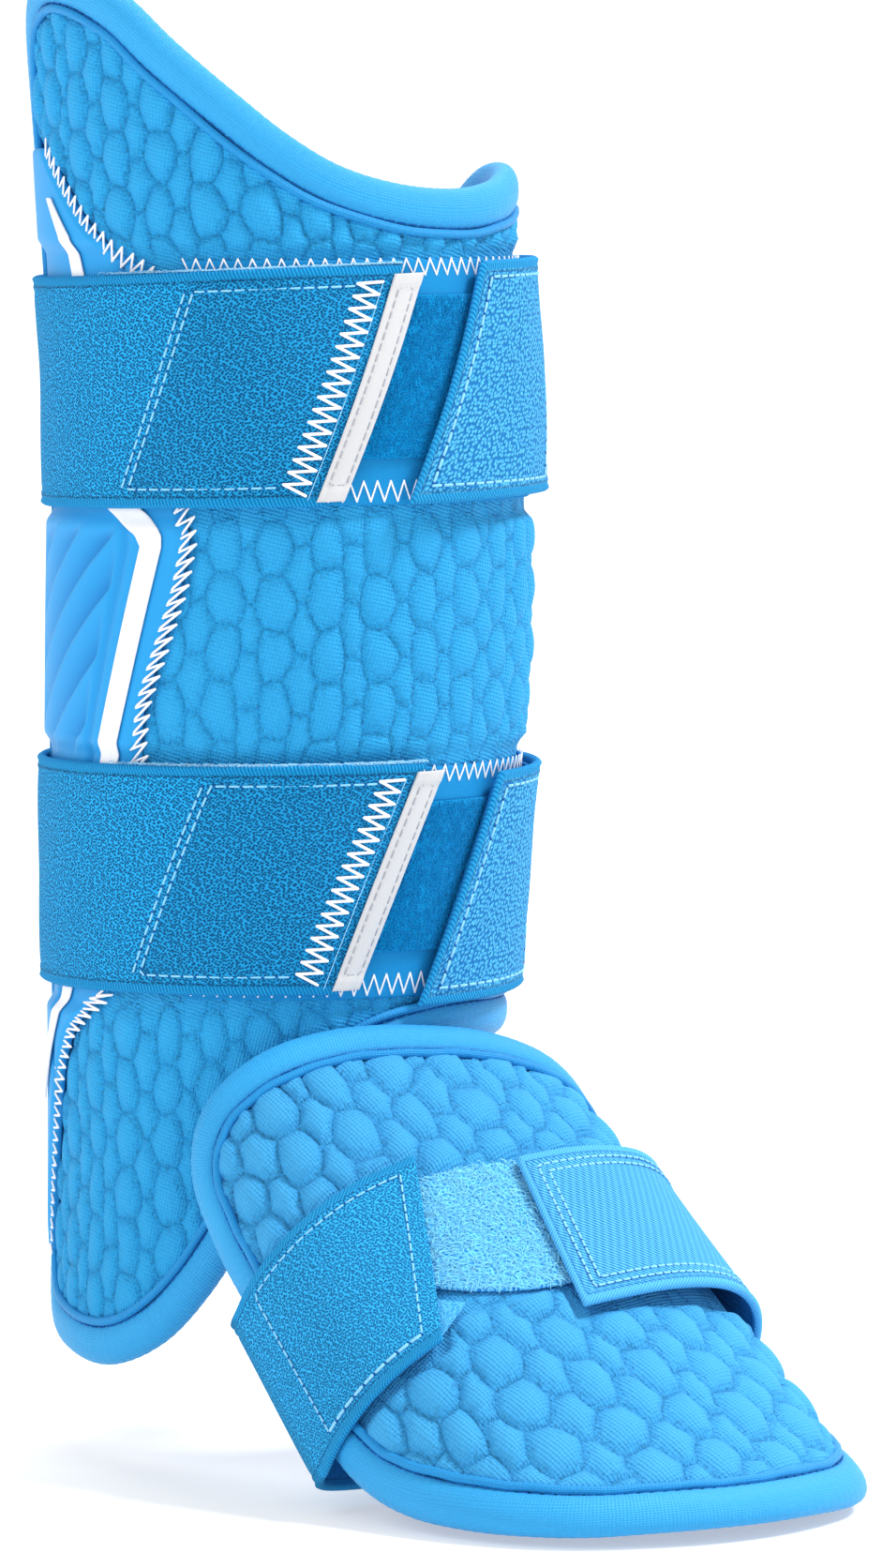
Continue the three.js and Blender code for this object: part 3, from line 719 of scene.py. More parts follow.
calfStraps = {
    # mean heights of the edges, how far each climbs towards the front right, how far the fixed end stands
    # above the free end, edges of the loop base; then girths at the lower and the upper edge
    'upper': {'low': 281.5, 'high': 342.9, 'lowClimb': 1.6, 'highClimb': 2.5, 'spiral': 0,
              'baseLow': 282, 'baseHigh': 345.2, 'barFront': (-25.7, 0.9), 'barWidth': (7.3, 9.4),
              'freeEnd': (-8.2, 20), 'boxEnd': 54.6},
    'lower': {'low': 152.5, 'high': 213, 'lowClimb': 0, 'highClimb': 0, 'spiral': 2,
              'baseLow': 152.8, 'baseHigh': 213.2, 'barFront': (-17.4, 6.5), 'barWidth': (7.7, 9.3),
              'freeEnd': (0.6, 27), 'boxEnd': 56.6},
}
strapParts = {
    'climbTurn': math.radians(50),       # turn round the leg where the straps' edges are highest
    'rise': 9.4, 'thick': 1.8, 'tabLift': 1.4, 'liftFrom': -245, 'liftTo': -295, 'tabLength': 92,
    'barRise': 11.0, 'barThick': 0.8, 'barShares': (0.02, 0.96), 'barOverlap': 2.5, 'barDrop': 1.3,
    'barSeam': 0.28,                     # the bar's stitches, as a share of its width from its middle
    'hookRise': 8.9, 'hookThick': 1.0, 'hookLength': 58, 'hookInset': 1.5, 'hookShare': 0.94,
    'baseGirths': (-66, 98), 'baseRise': 6.35, 'baseThick': 0.9,
    'fieldGirths': (-58, 92), 'fieldRise': 7.4, 'fieldThick': 0.8, 'fieldLow': 12, 'fieldHigh': 9,
    # how many fibres, and the ranges of their reach and height and their radius
    'fibres': 2600, 'fibreSizes': ((0.5, 1.7), (0.15, 0.6), 0.075),
    'frays': 900, 'fraySizes': ((0.7, 2.6), (0.1, 0.65), 0.09), 'frayFrom': -92,
    # height, place in from the edge and width of the ridges and dips along a woven edge
    'ridges': ((1.5, 1.2, 0.8), (0.6, 3.2, 0.7), (-0.9, 2.3, 0.4), (-0.7, 4.6, 0.5)), 'ridgeHeight': 0.28,
}


def slanted(girths, up):
    # between the girth at a strap's lower edge and the one at its upper edge
    return mixed(girths[0], girths[1], up)


def strapWidth(strap):
    return strap['high'] - strap['low']


def strapStart(strap, up):
    return slanted(strap['barFront'], up) - slanted(strap['barWidth'], up) + strapParts['barOverlap']


def strapHeight(strap, girth, share):
    climb = np.cos(girth / shin['girthRadius'] - strapParts['climbTurn'])
    low = strap['low'] + strap['lowClimb'] * climb
    high = strap['high'] + strap['highClimb'] * climb
    return mixed(low, high, share) + strap['spiral'] * (1 + 2 * girth / girthTurn)


def strapReach(strap):
    # lowest and highest place on the way round the leg
    low = strap['low'] - strap['lowClimb'] - strap['spiral']
    return low, strap['high'] + strap['highClimb'] + strap['spiral']


def strapSurface(strap):
    # the strap's face by girth and by millimetres up from its lower edge
    width = strapWidth(strap)

    def surface(girth, up, rise):
        lift = 1 - softStep(girth, strapParts['liftTo'], strapParts['liftFrom'])
        return onShin(girth, strapHeight(strap, girth, up / width), rise + strapParts['tabLift'] * lift)

    return surface


def selvedge(across, width, through):
    # two soft ridges along each edge of a strap, on both faces
    edge = width / 2 - np.abs(across)
    relief = sum(size * hump(edge, spot, wide) for size, spot, wide in strapParts['ridges'])
    return np.sign(through) * strapParts['ridgeHeight'] * relief * (np.abs(through) > 0.5)


def calfStrap(name, strap):
    width = strapWidth(strap)
    length = girthTurn + strapStart(strap, 0.5) - slanted(strap['freeEnd'], 0.5)
    surface = strapSurface(strap)

    def place(along, across, through):
        up = across / width + 0.5
        girth = mixed(strapStart(strap, up), slanted(strap['freeEnd'], up) - girthTurn, along / length)
        wave = 0.22 * np.sin(along / 17) + 0.16 * np.sin(along / 7.3 + across / 9)
        rim = 0.45 * hump(length - along, 1.2, 0.9) * (through > 0.5)
        rise = strapParts['rise'] + through + selvedge(across, width, through) + wave + rim
        return surface(girth, across + width / 2 + 0.25 * np.sin(along / 23), rise)

    tabStart = length - strapParts['tabLength']
    finish = elasticFinish(name + 'Elastic', (length, width), strap['boxEnd'], tabStart, strapTones, tabTones)
    piece = band(name + 'CalfStrap', (length, width, strapParts['thick']), (2.0, 1.2), place, finish,
                 'elastic', [name + '_calf_strap'])


def barSurface(strap):
    # the end bar's face by share up the strap, millimetres from the bar's middle and rise
    def surface(up, shift, rise):
        wide = slanted(strap['barWidth'], up)
        girth = slanted(strap['barFront'], up) - wide / 2 + shift
        drop = strapParts['barDrop'] * softStep(shift + wide / 2, strapParts['barOverlap'] + 0.8, wide)
        return onShin(girth, strapHeight(strap, girth, up), rise - drop)

    return surface


def endBar(name, strap):
    low, high = strapParts['barShares']
    length = strapWidth(strap) * (high - low)
    middle = slanted(strap['barWidth'], 0.5)
    surface = barSurface(strap)

    def place(along, across, through):
        share = along / length
        up = mixed(low, high, share)
        fold = 0.35 * softStep(0.07 - share, 0, 0.02) + 0.35 * softStep(share - 0.93, 0, 0.02)
        dent = 0.16 * hump(np.abs(across), middle * strapParts['barSeam'], 0.5)
        rise = strapParts['barRise'] + through + (fold - dent) * (through > 0)
        return surface(up, across * slanted(strap['barWidth'], up) / middle, rise)

    size = (length, middle, strapParts['barThick'])
    band(name + 'EndBar', size, (0.8, 0.45), place, barCoating, 'white', [name + '_end_bar'])


def hookTab(name, strap):
    width = strapWidth(strap) * strapParts['hookShare']
    length = strapParts['hookLength']

    def place(along, across, through):
        up = across / strapWidth(strap) + 0.5
        girth = slanted(strap['freeEnd'], up) + strapParts['hookInset'] + along
        return onShin(girth, strapHeight(strap, girth - girthTurn, up), strapParts['hookRise'] + through)

    piece = band(name + 'HookTab', (length, width, strapParts['hookThick']), (2, 2), place, hookTape,
                 'hook', [name + '_hook_tab'])


def fieldHeights(strap):
    return strap['baseLow'] + strapParts['fieldLow'], strap['baseHigh'] - strapParts['fieldHigh']


def loopBands(name, strap):
    def loopBand(label, girths, low, high, rise, thick, finish, slot, node, rests):
        length, width = girths[1] - girths[0], high - low

        def place(along, across, through):
            return onShin(girths[0] + along, (low + high) / 2 + across, rise + through)

        piece = band(label, (length, width, thick), (2, 2), place, finish, slot, [node])

    loopBand(name + 'LoopBase', strapParts['baseGirths'], strap['baseLow'], strap['baseHigh'],
             strapParts['baseRise'], strapParts['baseThick'], baseCloth, 'base',
             name + '_loop_base', 'shin_pad')
    loopBand(name + 'LoopField', strapParts['fieldGirths'], *fieldHeights(strap),
             strapParts['fieldRise'], strapParts['fieldThick'], darkPile, 'loop',
             name + '_loop_field', name + 'LoopBase')


def loopFibres(name, strap):
    # arched fibres where the loop field shows between the strap's two ends
    count = strapParts['fibres']
    low, high = fieldHeights(strap)
    height = mixed(low + 0.5, high - 0.5, dice.uniform(0, 1, count))
    up = (height - strap['low']) / strapWidth(strap)
    left, right = slanted(strap['barFront'], up) - 3, slanted(strap['freeEnd'], up) + 3
    girth = mixed(left, right, dice.uniform(0, 1, count))
    rise = strapParts['fieldRise'] + strapParts['fieldThick'] / 2
    spots = (girth, height, rise)
    fibresOn(name + 'LoopFibres', onShin, spots, strapParts['fibreSizes'], darkFibre, 'loop')


def frayedEdge(name, strap):
    # loose pale ends along the strap's upper edge, thicker towards the end bar
    count = strapParts['frays']
    girth = mixed(strapParts['frayFrom'], strapStart(strap, 1.0) - 0.4, dice.uniform(0, 1, count) ** 0.6)
    rise = strapParts['rise'] + dice.uniform(-0.5, 0.5, count)

    def surface(girth, rise, above):
        return onShin(girth, strapHeight(strap, girth, 1.0) + above, rise)

    spots = (girth, rise, 0.0)
    fibresOn(name + 'Fray', surface, spots, strapParts['fraySizes'], frayThread, 'elastic')


def fibresOn(name, surface, spots, sizes, finish, slot):
    # fibres at flat spots and a rise, turned at random
    u, v, rise = spots
    reach, height, radius = sizes
    roots = surface(u, v, rise)
    out = unit(surface(u, v, rise + 1) - roots)
    turn = dice.uniform(0, math.tau, len(roots))[:, None]
    level = unit(surface(u + 0.5, v, rise) - surface(u - 0.5, v, rise))
    along = unit(level * np.cos(turn) + np.cross(out, level) * np.sin(turn))
    sizes = (dice.uniform(*reach, len(roots)), dice.uniform(*height, len(roots)),
             radius * dice.uniform(0.7, 1.3, len(roots)))
    fibrePiece(name, roots, out, along, sizes, finish, slot)


strapSewing = {
    'inset': 5.2, 'pitch': 3.6, 'radius': 0.33, 'lift': 0.12,
    'tabInset': 4.4, 'tabPitch': 3.7, 'tabRadius': 0.42, 'boxOpen': 4,
    # girths where the stitched box's slanted double line and the thick zigzag meet its upper and lower line
    'upper': {'boxHigh': -62.1, 'boxLow': -83.6, 'zigHigh': -15.8, 'zigLow': -38.2},
    'lower': {'boxHigh': -58.1, 'boxLow': -78.1, 'zigHigh': -10.4, 'zigLow': -31.6},
    'doubleGap': 2.3, 'zigHalf': 3.0, 'zigTilt': 0.7, 'zigPitch': 1.7, 'zigRadius': 0.48, 'zigEnds': 1.5,
    'zigLift': 0.25,
    'tabReach': 60,
    'foldGap': 2.3, 'foldShares': (0.93, 0.03), 'foldPitch': 5.0, 'foldDash': 0.94, 'foldRadius': 0.16,
    'barShares': (0.09, 0.9), 'barPitch': 3.0, 'barDash': 0.6, 'barRadius': 0.2,
    'edgeZigPitch': 1.95, 'edgeZigRadius': 0.27,
    # place in from the loop base's edge and half width of the zigzag along its lower and its upper edge
    'edgeZigs': {'baseLow': (3.6, 2.6), 'baseHigh': (-1.8, 2.1)},
}


def sewRuns(name, runs, pitch, radius):
    # pale stitches, with small dark pieces between them as painted shade in the needle's holes
    stitches = [dashes(run, pitch) for run in runs]
    stitchPiece(name + 'Stitches', stitches, radius, paleThread, 'elastic')
    holeShade = [dashes(run, pitch, 0.12, 0.0) for run in runs]
    stitchPiece(name + 'NeedleHoleShade', holeShade, radius * 0.85, holeShadeAndDarkThread, 'elastic', 0.5)


def strapStitches(name, strap):
    sewing, width = strapSewing, strapWidth(strap)
    spots = sewing[name]
    surface = strapSurface(strap)
    top = strapParts['rise'] + strapParts['thick'] / 2 + sewing['lift']
    low, high = sewing['inset'], width - sewing['inset']
    gap = sewing['doubleGap']
    box = [
        [(spots['zigHigh'] - sewing['boxOpen'], high), (spots['boxHigh'], high),
         (spots['boxLow'], low), (spots['zigLow'] - sewing['boxOpen'], low)],
        [(spots['boxHigh'] - gap, high), (spots['boxLow'] - gap, low)],
    ]
    sewRuns(name + 'Strap', [runOn(surface, line, top) for line in box], sewing['pitch'], sewing['radius'])

    inset, reach = sewing['tabInset'], sewing['tabReach']
    tabLow, tabHigh = (girth - girthTurn for girth in strap['freeEnd'])
    slope = (tabHigh - tabLow) / width
    low, high = inset, width - inset
    tab = [(tabHigh + reach, high), (tabHigh + inset - inset * slope, high),
           (tabLow + inset + inset * slope, low), (tabLow + reach, low), (tabHigh + reach, high)]
    sewRuns(name + 'Tab', [runOn(surface, tab, top)], sewing['tabPitch'], sewing['tabRadius'])

    half, ends = sewing['zigHalf'], sewing['zigEnds']
    low, high = sewing['inset'] - ends, width - sewing['inset'] + ends
    centre = [(spots['zigHigh'], high), (spots['zigLow'], low)]
    rails = [[(girth + way * half, up - way * sewing['zigTilt']) for girth, up in centre] for way in (1, -1)]
    count = round(math.dist(*centre) / sewing['zigPitch'])
    legs = zigzag(surface, *rails, top + sewing['zigLift'], count)
    stitchPiece(name + 'StrapZigzag', [legs], sewing['zigRadius'], whiteThread, 'white')

    # thin pale line between the zigzag and the bar, where the strap's end is folded
    back = strapParts['barOverlap'] + sewing['foldGap']
    fold = [(strapStart(strap, share) - back, width * share) for share in sewing['foldShares']]
    fold = dashes(runOn(surface, fold, top), sewing['foldPitch'], sewing['foldDash'])
    stitchPiece(name + 'FoldLine', [fold], sewing['foldRadius'], paleThread, 'elastic')

    side = slanted(strap['barWidth'], 0.5) * strapParts['barSeam']
    low, high = sewing['barShares']
    outline = [(high, -side), (low, -side), (low, side), (high, side), (high, -side)]
    barTop = strapParts['barRise'] + strapParts['barThick'] / 2

    def onBar(up, shift, rise):
        return barSurface(strap)(up / width, shift, rise)

    outline = [(share * width, shift) for share, shift in outline]
    outline = dashes(runOn(onBar, outline, barTop), sewing['barPitch'], sewing['barDash'])
    stitchPiece(name + 'BarStitches', [outline], sewing['barRadius'], greyThread, 'white')


def loopStitches(name, strap):
    # thin zigzags that hold the loop base, above and below the loop field
    sewing = strapSewing
    girths = strapParts['baseGirths']
    rise = strapParts['baseRise'] + strapParts['baseThick'] / 2 + 0.1
    groups = []
    for edge, (inset, half) in sewing['edgeZigs'].items():
        middle = strap[edge] + inset
        rails = [[(girth, middle + shift) for girth in girths] for shift in (half, -half)]
        count = round((girths[1] - girths[0]) / sewing['edgeZigPitch'])
        groups.append(zigzag(onShin, *rails, rise, count))
    stitchPiece(name + 'LoopZigzag', groups, sewing['edgeZigRadius'], whiteThread, 'white')


for strapName, strapRow in calfStraps.items():
    for make in (calfStrap, endBar, hookTab, loopBands, loopFibres, frayedEdge, strapStitches, loopStitches):
        make(strapName, strapRow)
print('calf straps made')


# Side panel with its stripe and zigzag seam

panel = {
    'rise': 7.5, 'thick': 3.0, 'pressed': 2.1, 'margin': 5,
    'stripeRise': 9.7, 'stripeThick': 0.6,
    # height, back edge, zigzag seam at the front
    'rows': ((80, -140.5, -136), (90, -141, -133.5), (102, -141.5, -130), (115, -142, -126.5),
             (132, -142.8, -120), (142, -143.4, -112), (148, -143.8, -102), (152, -144, -94.5),
             (214, -145, -81.7), (230, -145, -80.2), (245, -145, -74.7), (260, -144.5, -69.4),
             (273, -143.5, -66.7), (280, -143, -68.5), (342, -138, -77.5), (347, -137.5, -88),
             (354, -136.5, -98), (364, -135.3, -108.5), (374, -134, -119)),
    # height, back and front edge of the white stripe
    'stripe': ((121, -136.5, -134), (135, -129, -124), (152, -118, -111.5), (214, -95.8, -88.8),
               (271, -80.2, -73.6), (274, -81.9, -73.6), (276, -85.4, -74.9), (279.5, -92.4, -79.6),
               (285, -100.4, -88.4), (341, -107, -101), (351, -109.5, -104), (361, -115.5, -113)),
    'fluteDepth': 2.5, 'fluteEdge': 0.92, 'flutePitch': 14, 'fluteSlope': 0.9, 'fluteTop': 268,
    # where the flutes fade: in from the back edge, from the channel, and by height
    'fluteBack': (5, 12), 'fluteFront': (2, 4), 'fluteLow': (214, 222), 'fluteHigh': (271, 277),
    'channelGap': 6, 'channelHalf': 1.6, 'channelDepth': 0.9, 'channelHeights': (150, 271),
    'width': 74, 'stripeWidth': 7,
    'zigHalf': 2.7, 'zigPitch': 1.8, 'zigTilt': 0.6, 'zigRadius': 0.38,
    'zigLow': 1.6, 'zigNarrows': (132, 150),       # wider down the low lobe, below these heights
}


def underStraps(height, margin):
    # 1 under a calf strap, falling to 0 beyond its edges
    shares = [
        softStep(height, low - margin, low - 0.5) * (1 - softStep(height, high + 0.5, high + margin))
        for low, high in map(strapReach, calfStraps.values())
    ]
    return np.maximum(*shares)


def panelHollows(girth, height):
    # depth of the channel beside the stripe and of the slanted flutes
    back = betweenRows(panel['rows'], 1, height)
    stripeBack = betweenRows(panel['stripe'], 1, np.clip(height, *panel['channelHeights']))
    channel = hump(girth, stripeBack - panel['channelGap'], panel['channelHalf'])
    share = ((panel['fluteTop'] - height) + panel['fluteSlope'] * (girth - back)) / panel['flutePitch'] % 1
    # each flute sinks slowly and ends in a crisp edge
    flute = share ** 1.6 * (1 - softStep(share, panel['fluteEdge'], 1))
    room = softStep(girth - back, *panel['fluteBack'])
    room = room * softStep(stripeBack - panel['channelGap'] - girth, *panel['fluteFront'])
    room = room * softStep(height, *panel['fluteLow']) * (1 - softStep(height, *panel['fluteHigh']))
    return panel['channelDepth'] * channel + panel['fluteDepth'] * flute * room


def panelTop(girth, height):
    # the panel's face, pressed under the straps and rolled down at its edges
    back, seam = betweenRows(panel['rows'], 1, height), betweenRows(panel['rows'], 2, height)
    face = panel['rise'] + panel['thick'] / 2 - panel['pressed'] * underStraps(height, panel['margin'])
    edge = np.minimum(girth - back, seam - girth)
    return face - 1.6 * (1 - softStep(edge, -0.5, 4)) - panelHollows(girth, height)


def sidePanel():
    heights = [row[0] for row in panel['rows']]
    length, width = heights[-1] - heights[0], panel['width']

    def spot(along, across):
        height = heights[0] + along
        back, seam = betweenRows(panel['rows'], 1, height), betweenRows(panel['rows'], 2, height)
        return mixed(back, seam, across / width + 0.5), height

    def place(along, across, through):
        girth, height = spot(along, across)
        top = panelTop(girth, height)
        bottom = panel['rise'] - panel['thick'] / 2
        return onShin(girth, height, mixed(bottom, top, through / panel['thick'] + 0.5))

    piece = band('sidePanel', (length, width, panel['thick']), (0.9, 0.9), place, panelSatin,
                 'panel', ['side_panel'])
    along, across = getWeave(piece.data)
    # depth share of the hollows, which the panel's finish uses for painted shade in them
    sunk = panelHollows(*spot(along, across - width / 2)) / panel['fluteDepth']
    setShare(piece.data, 'sunk', np.clip(sunk, 0, 1))

    def stripePlace(along, across, through):
        height = panel['stripe'][0][0] + along
        back, front = betweenRows(panel['stripe'], 1, height), betweenRows(panel['stripe'], 2, height)
        rise = panel['stripeRise'] - panel['pressed'] * underStraps(height, panel['margin']) + through
        return onShin(mixed(back, front, across / stripeWidth + 0.5), height, rise)

    stripeWidth = panel['stripeWidth']
    stripeLength = panel['stripe'][-1][0] - panel['stripe'][0][0]
    piece = band('sideStripe', (stripeLength, stripeWidth, panel['stripeThick']), (0.8, 0.8), stripePlace,
                 stripeWhite, 'white', ['side_stripe'])

    seam = [(row[2], row[0]) for row in panel['rows']]
    half = panel['zigHalf']
    rails = []
    for shift in (half, -half):
        line = np.array(seam, float)
        step = unit(np.gradient(line, axis=0))
        wide = shift * mixed(panel['zigLow'], 1, softStep(line[:, 1:], *panel['zigNarrows']))
        rail = line + wide * np.stack((step[:, 1], -step[:, 0]), 1)
        rails.append(rail + math.copysign(panel['zigTilt'], shift) * step)
    run = runLength(np.array(seam))[-1]

    def zigRise(girth, height):
        free = panel['rise'] + 0.6 - 1.2 * underStraps(height, panel['margin'])
        return np.maximum(free, 6.4)

    legs = zigzag(onShin, *rails, zigRise, round(run / panel['zigPitch']))
    stitchPiece('panelZigzag', [legs], panel['zigRadius'], whiteThread, 'white')


sidePanel()
print('side panel made')


# Quilted pads: hexagon cells sewn down in the flat, swollen as cloth and laid on their surface

quilt = {
    'fine': 5,                 # mesh steps on each side of a quilting triangle
    'seamRise': 5.7, 'pressedRise': 5.35, 'liningRise': 0.2, 'liningStep': 5,
    'edgeInset': 5.6,          # edge of the quilting, under the piping
    'steep': 0.8, 'steepFrom': 3.0, 'lean': 0.35, 'fullEdge': 1.15, 'fullFront': 0.6,
    'widen': 0.35,             # how far every other column of cells is widened
    'rounding': 0.5,           # how far the wide cells bulge into the narrow ones between them
    'jitter': 1.25,            # unevenness of the seams' corners
    'wander': 0.8, 'wanderWave': 36,
    'smallPush': 0.72,         # swelling of the narrower cells
    'frames': 20, 'pressure': 8.0, 'slack': -0.04, 'clothUnit': 10, 'cap': 3.4,
    'shinCells': (7.2, 14.3), 'footCells': (8.8, 16.5),       # width of a column and height of a cell
    # where the flatter front of the shin and its flatter low lobe fade out
    'frontLeft': (-90, -70), 'frontRight': (18, 50), 'frontTop': (285, 340),
    'lobeFlat': 0.7, 'lobeTop': (150, 190),
}


def quiltCells(i, j, fine, side, step):
    # share of the way from a seam to its cell's crown, the crown's place in the lattice,
    # the uneven flat place, and how far it lies to the right of the crown
    column, row = i // fine, j // fine
    x, y = (i % fine) / fine, (j % fine) / fine
    sideways = (x >= y).astype(int)
    # the three corners of the triangle round each point, and the point's share of each
    corners = [(column, row), (column + 1, row + 1), (column + sideways, row + 1 - sideways)]
    shares = [1 - np.maximum(x, y), np.minimum(x, y), np.abs(x - y)]
    kind = (column + row) % 3
    order = np.stack((kind, (kind + 1) % 3, (kind + 2) % 3))

    def chosen(k):
        return [np.choose(k, [corner[axis] for corner in corners]) for axis in (0, 1)]

    crown, first, second = map(chosen, order)
    share, firstShare, secondShare = (np.choose(k, shares) for k in order)

    def place(corner):
        return np.stack((side * (corner[0] - corner[1] / 2), step * corner[1]), 1)

    luck = dice.uniform(-1, 1, (1009, 2))

    def uneven(corner):
        return quilt['jitter'] * luck[(corner[0] * 131 + corner[1] * 57) % 1009]

    across = place([first[0] + second[0] - 2 * crown[0], first[1] + second[1] - 2 * crown[1]])
    wide, beyond = crown[1] % 2 == 0, (first[1] + second[1] - crown[1]) % 2 == 0
    bulge = np.where(wide == beyond, 0, np.where(wide, 1, -1)) * 4 * firstShare * secondShare
    bulge = bulge * quilt['rounding']
    flat = np.stack((side * (i - j / 2) / fine, step * j / fine), 1) + unit(across) * bulge[:, None]
    for corner, part in zip(corners, shares):
        flat = flat + uneven(corner) * part[:, None]
    middle = place(crown)
    lean = (flat[:, 0] - middle[:, 0]) / side
    return share, crown, flat, lean


def insideLine(points, line):
    inside = np.zeros(len(points), bool)
    for (x0, y0), (x1, y1) in zip(line, np.roll(line, -1, 0)):
        crosses = (y0 > points[:, 1]) != (y1 > points[:, 1])
        if y0 != y1:
            inside ^= crosses & (points[:, 0] < (x1 - x0) * (points[:, 1] - y0) / (y1 - y0) + x0)
    return inside


def trimToLine(mesh, line, scale):
    # cuts a flat sheet to a closed line and pulls its new edge onto that line
    keep = insideLine(meshPoints(mesh)[:, :2] * scale, line)
    bm = bmesh.new()
    bm.from_mesh(mesh)
    bm.verts.ensure_lookup_table()
    bmesh.ops.delete(bm, geom=[bm.verts[k] for k in np.nonzero(~keep)[0]], context='VERTS')
    while True:
        loose = [v for v in bm.verts if not v.link_faces or sum(e.is_boundary for e in v.link_edges) > 2]
        if not loose:
            break
        bmesh.ops.delete(bm, geom=loose, context='VERTS')
    for vertex in bm.verts:
        if vertex.is_boundary:
            place = np.array(vertex.co[:2]) * scale
            nearest = line[np.argmin(((line - place) ** 2).sum(1))] / scale
            vertex.co.x, vertex.co.y = nearest
    rim = [vertex for vertex in bm.verts if vertex.is_boundary]
    # cloth can't start from edges without length
    bmesh.ops.remove_doubles(bm, verts=rim, dist=0.4 / scale)
    bm.to_mesh(mesh)
    bm.free()


def quiltSheet(line, column, cell):
    # flat sheet of small triangles whose edges follow the hexagons, in cloth units
    fine = quilt['fine']
    side, step = column / 1.5, cell / 2
    low, high = line.min(0), line.max(0)
    firstRow, lastRow = math.floor(low[1] / step) - 1, math.ceil(high[1] / step) + 1
    firstColumn = math.floor(low[0] / side + firstRow / 2) - 1
    lastColumn = math.ceil(high[0] / side + lastRow / 2) + 1
    columns, rows = (lastColumn - firstColumn) * fine, (lastRow - firstRow) * fine
    mesh, u, v = gridMesh(columns, rows)
    i = np.rint(u * columns).astype(int) + firstColumn * fine
    j = np.rint(v * rows).astype(int) + firstRow * fine
    share, crown, flat, lean = quiltCells(i, j, fine, side, step)
    luck = dice.uniform(0.65, 1.25, 997)
    push = luck[(crown[0] * 73 + crown[1] * 151) % 997] * np.where(crown[1] % 2 == 0, 1.0, quilt['smallPush'])
    across, up = flat.T
    across = across + quilt['widen'] * np.sin(math.tau * across / (2 * column))
    wander, wave = quilt['wander'], quilt['wanderWave']
    across, up = across + wander * ripples(across, up, wave), up + wander * ripples(across, up, wave)
    flat = np.stack((across, up, 0 * up), 1) / quilt['clothUnit']
    setPoints(mesh, flat)
    setShare(mesh, 'cell', share)
    setShare(mesh, 'push', push)
    setShare(mesh, 'lean', np.clip(lean, -1, 1))
    bm = bmesh.new()
    bm.from_mesh(mesh)
    bmesh.ops.triangulate(bm, faces=bm.faces, quad_method='SHORT_EDGE')
    bm.to_mesh(mesh)
    bm.free()
    trimToLine(mesh, line, quilt['clothUnit'])
    return mesh


def swell(mesh, press):
    # blows the sewn cells up as cloth and returns the points in millimetres
    flat = meshPoints(mesh)
    cell, push = getShare(mesh, 'cell'), getShare(mesh, 'push')
    cloth = bpy.data.objects.new('swelling', mesh)
    scene.collection.objects.link(cloth)
    bm = bmesh.new()
    bm.from_mesh(mesh)
    rim = np.array([vertex.is_boundary for vertex in bm.verts])
    bm.free()
    sewn = cloth.vertex_groups.new(name='sewn')
    sewn.add(np.nonzero((cell < 0.01) | rim)[0].tolist(), 1.0, 'REPLACE')
    blown = cloth.vertex_groups.new(name='blown')
    levels = np.rint(np.clip(push * (1 - press), 0, 1.25) * 16).astype(int)
    for level in range(1, levels.max() + 1):
        blown.add(np.nonzero(levels == level)[0].tolist(), min(level / 20, 1.0), 'REPLACE')
    modifier = cloth.modifiers.new('cloth', 'CLOTH')
    modifier.point_cache.frame_start, modifier.point_cache.frame_end = 1, quilt['frames']
    settings = modifier.settings
    settings.quality = 5
    settings.mass = 0.3
    settings.tension_stiffness = settings.compression_stiffness = 15
    settings.shear_stiffness = 5
    settings.bending_stiffness = 0.4
    settings.vertex_group_mass = 'sewn'
    settings.use_pressure = True
    settings.uniform_pressure_force = quilt['pressure']
    settings.vertex_group_pressure = 'blown'
    settings.shrink_min = quilt['slack']
    settings.effector_weights.gravity = 0
    for moment in range(1, quilt['frames'] + 1):
        scene.frame_set(moment)
    swollen = cloth.evaluated_get(bpy.context.evaluated_depsgraph_get())
    points = meshPoints(swollen.data) * quilt['clothUnit']
    bpy.data.objects.remove(cloth)
    scene.frame_set(1)
    points[:, 2] = np.clip(points[:, 2], 0, quilt['cap'])
    return points


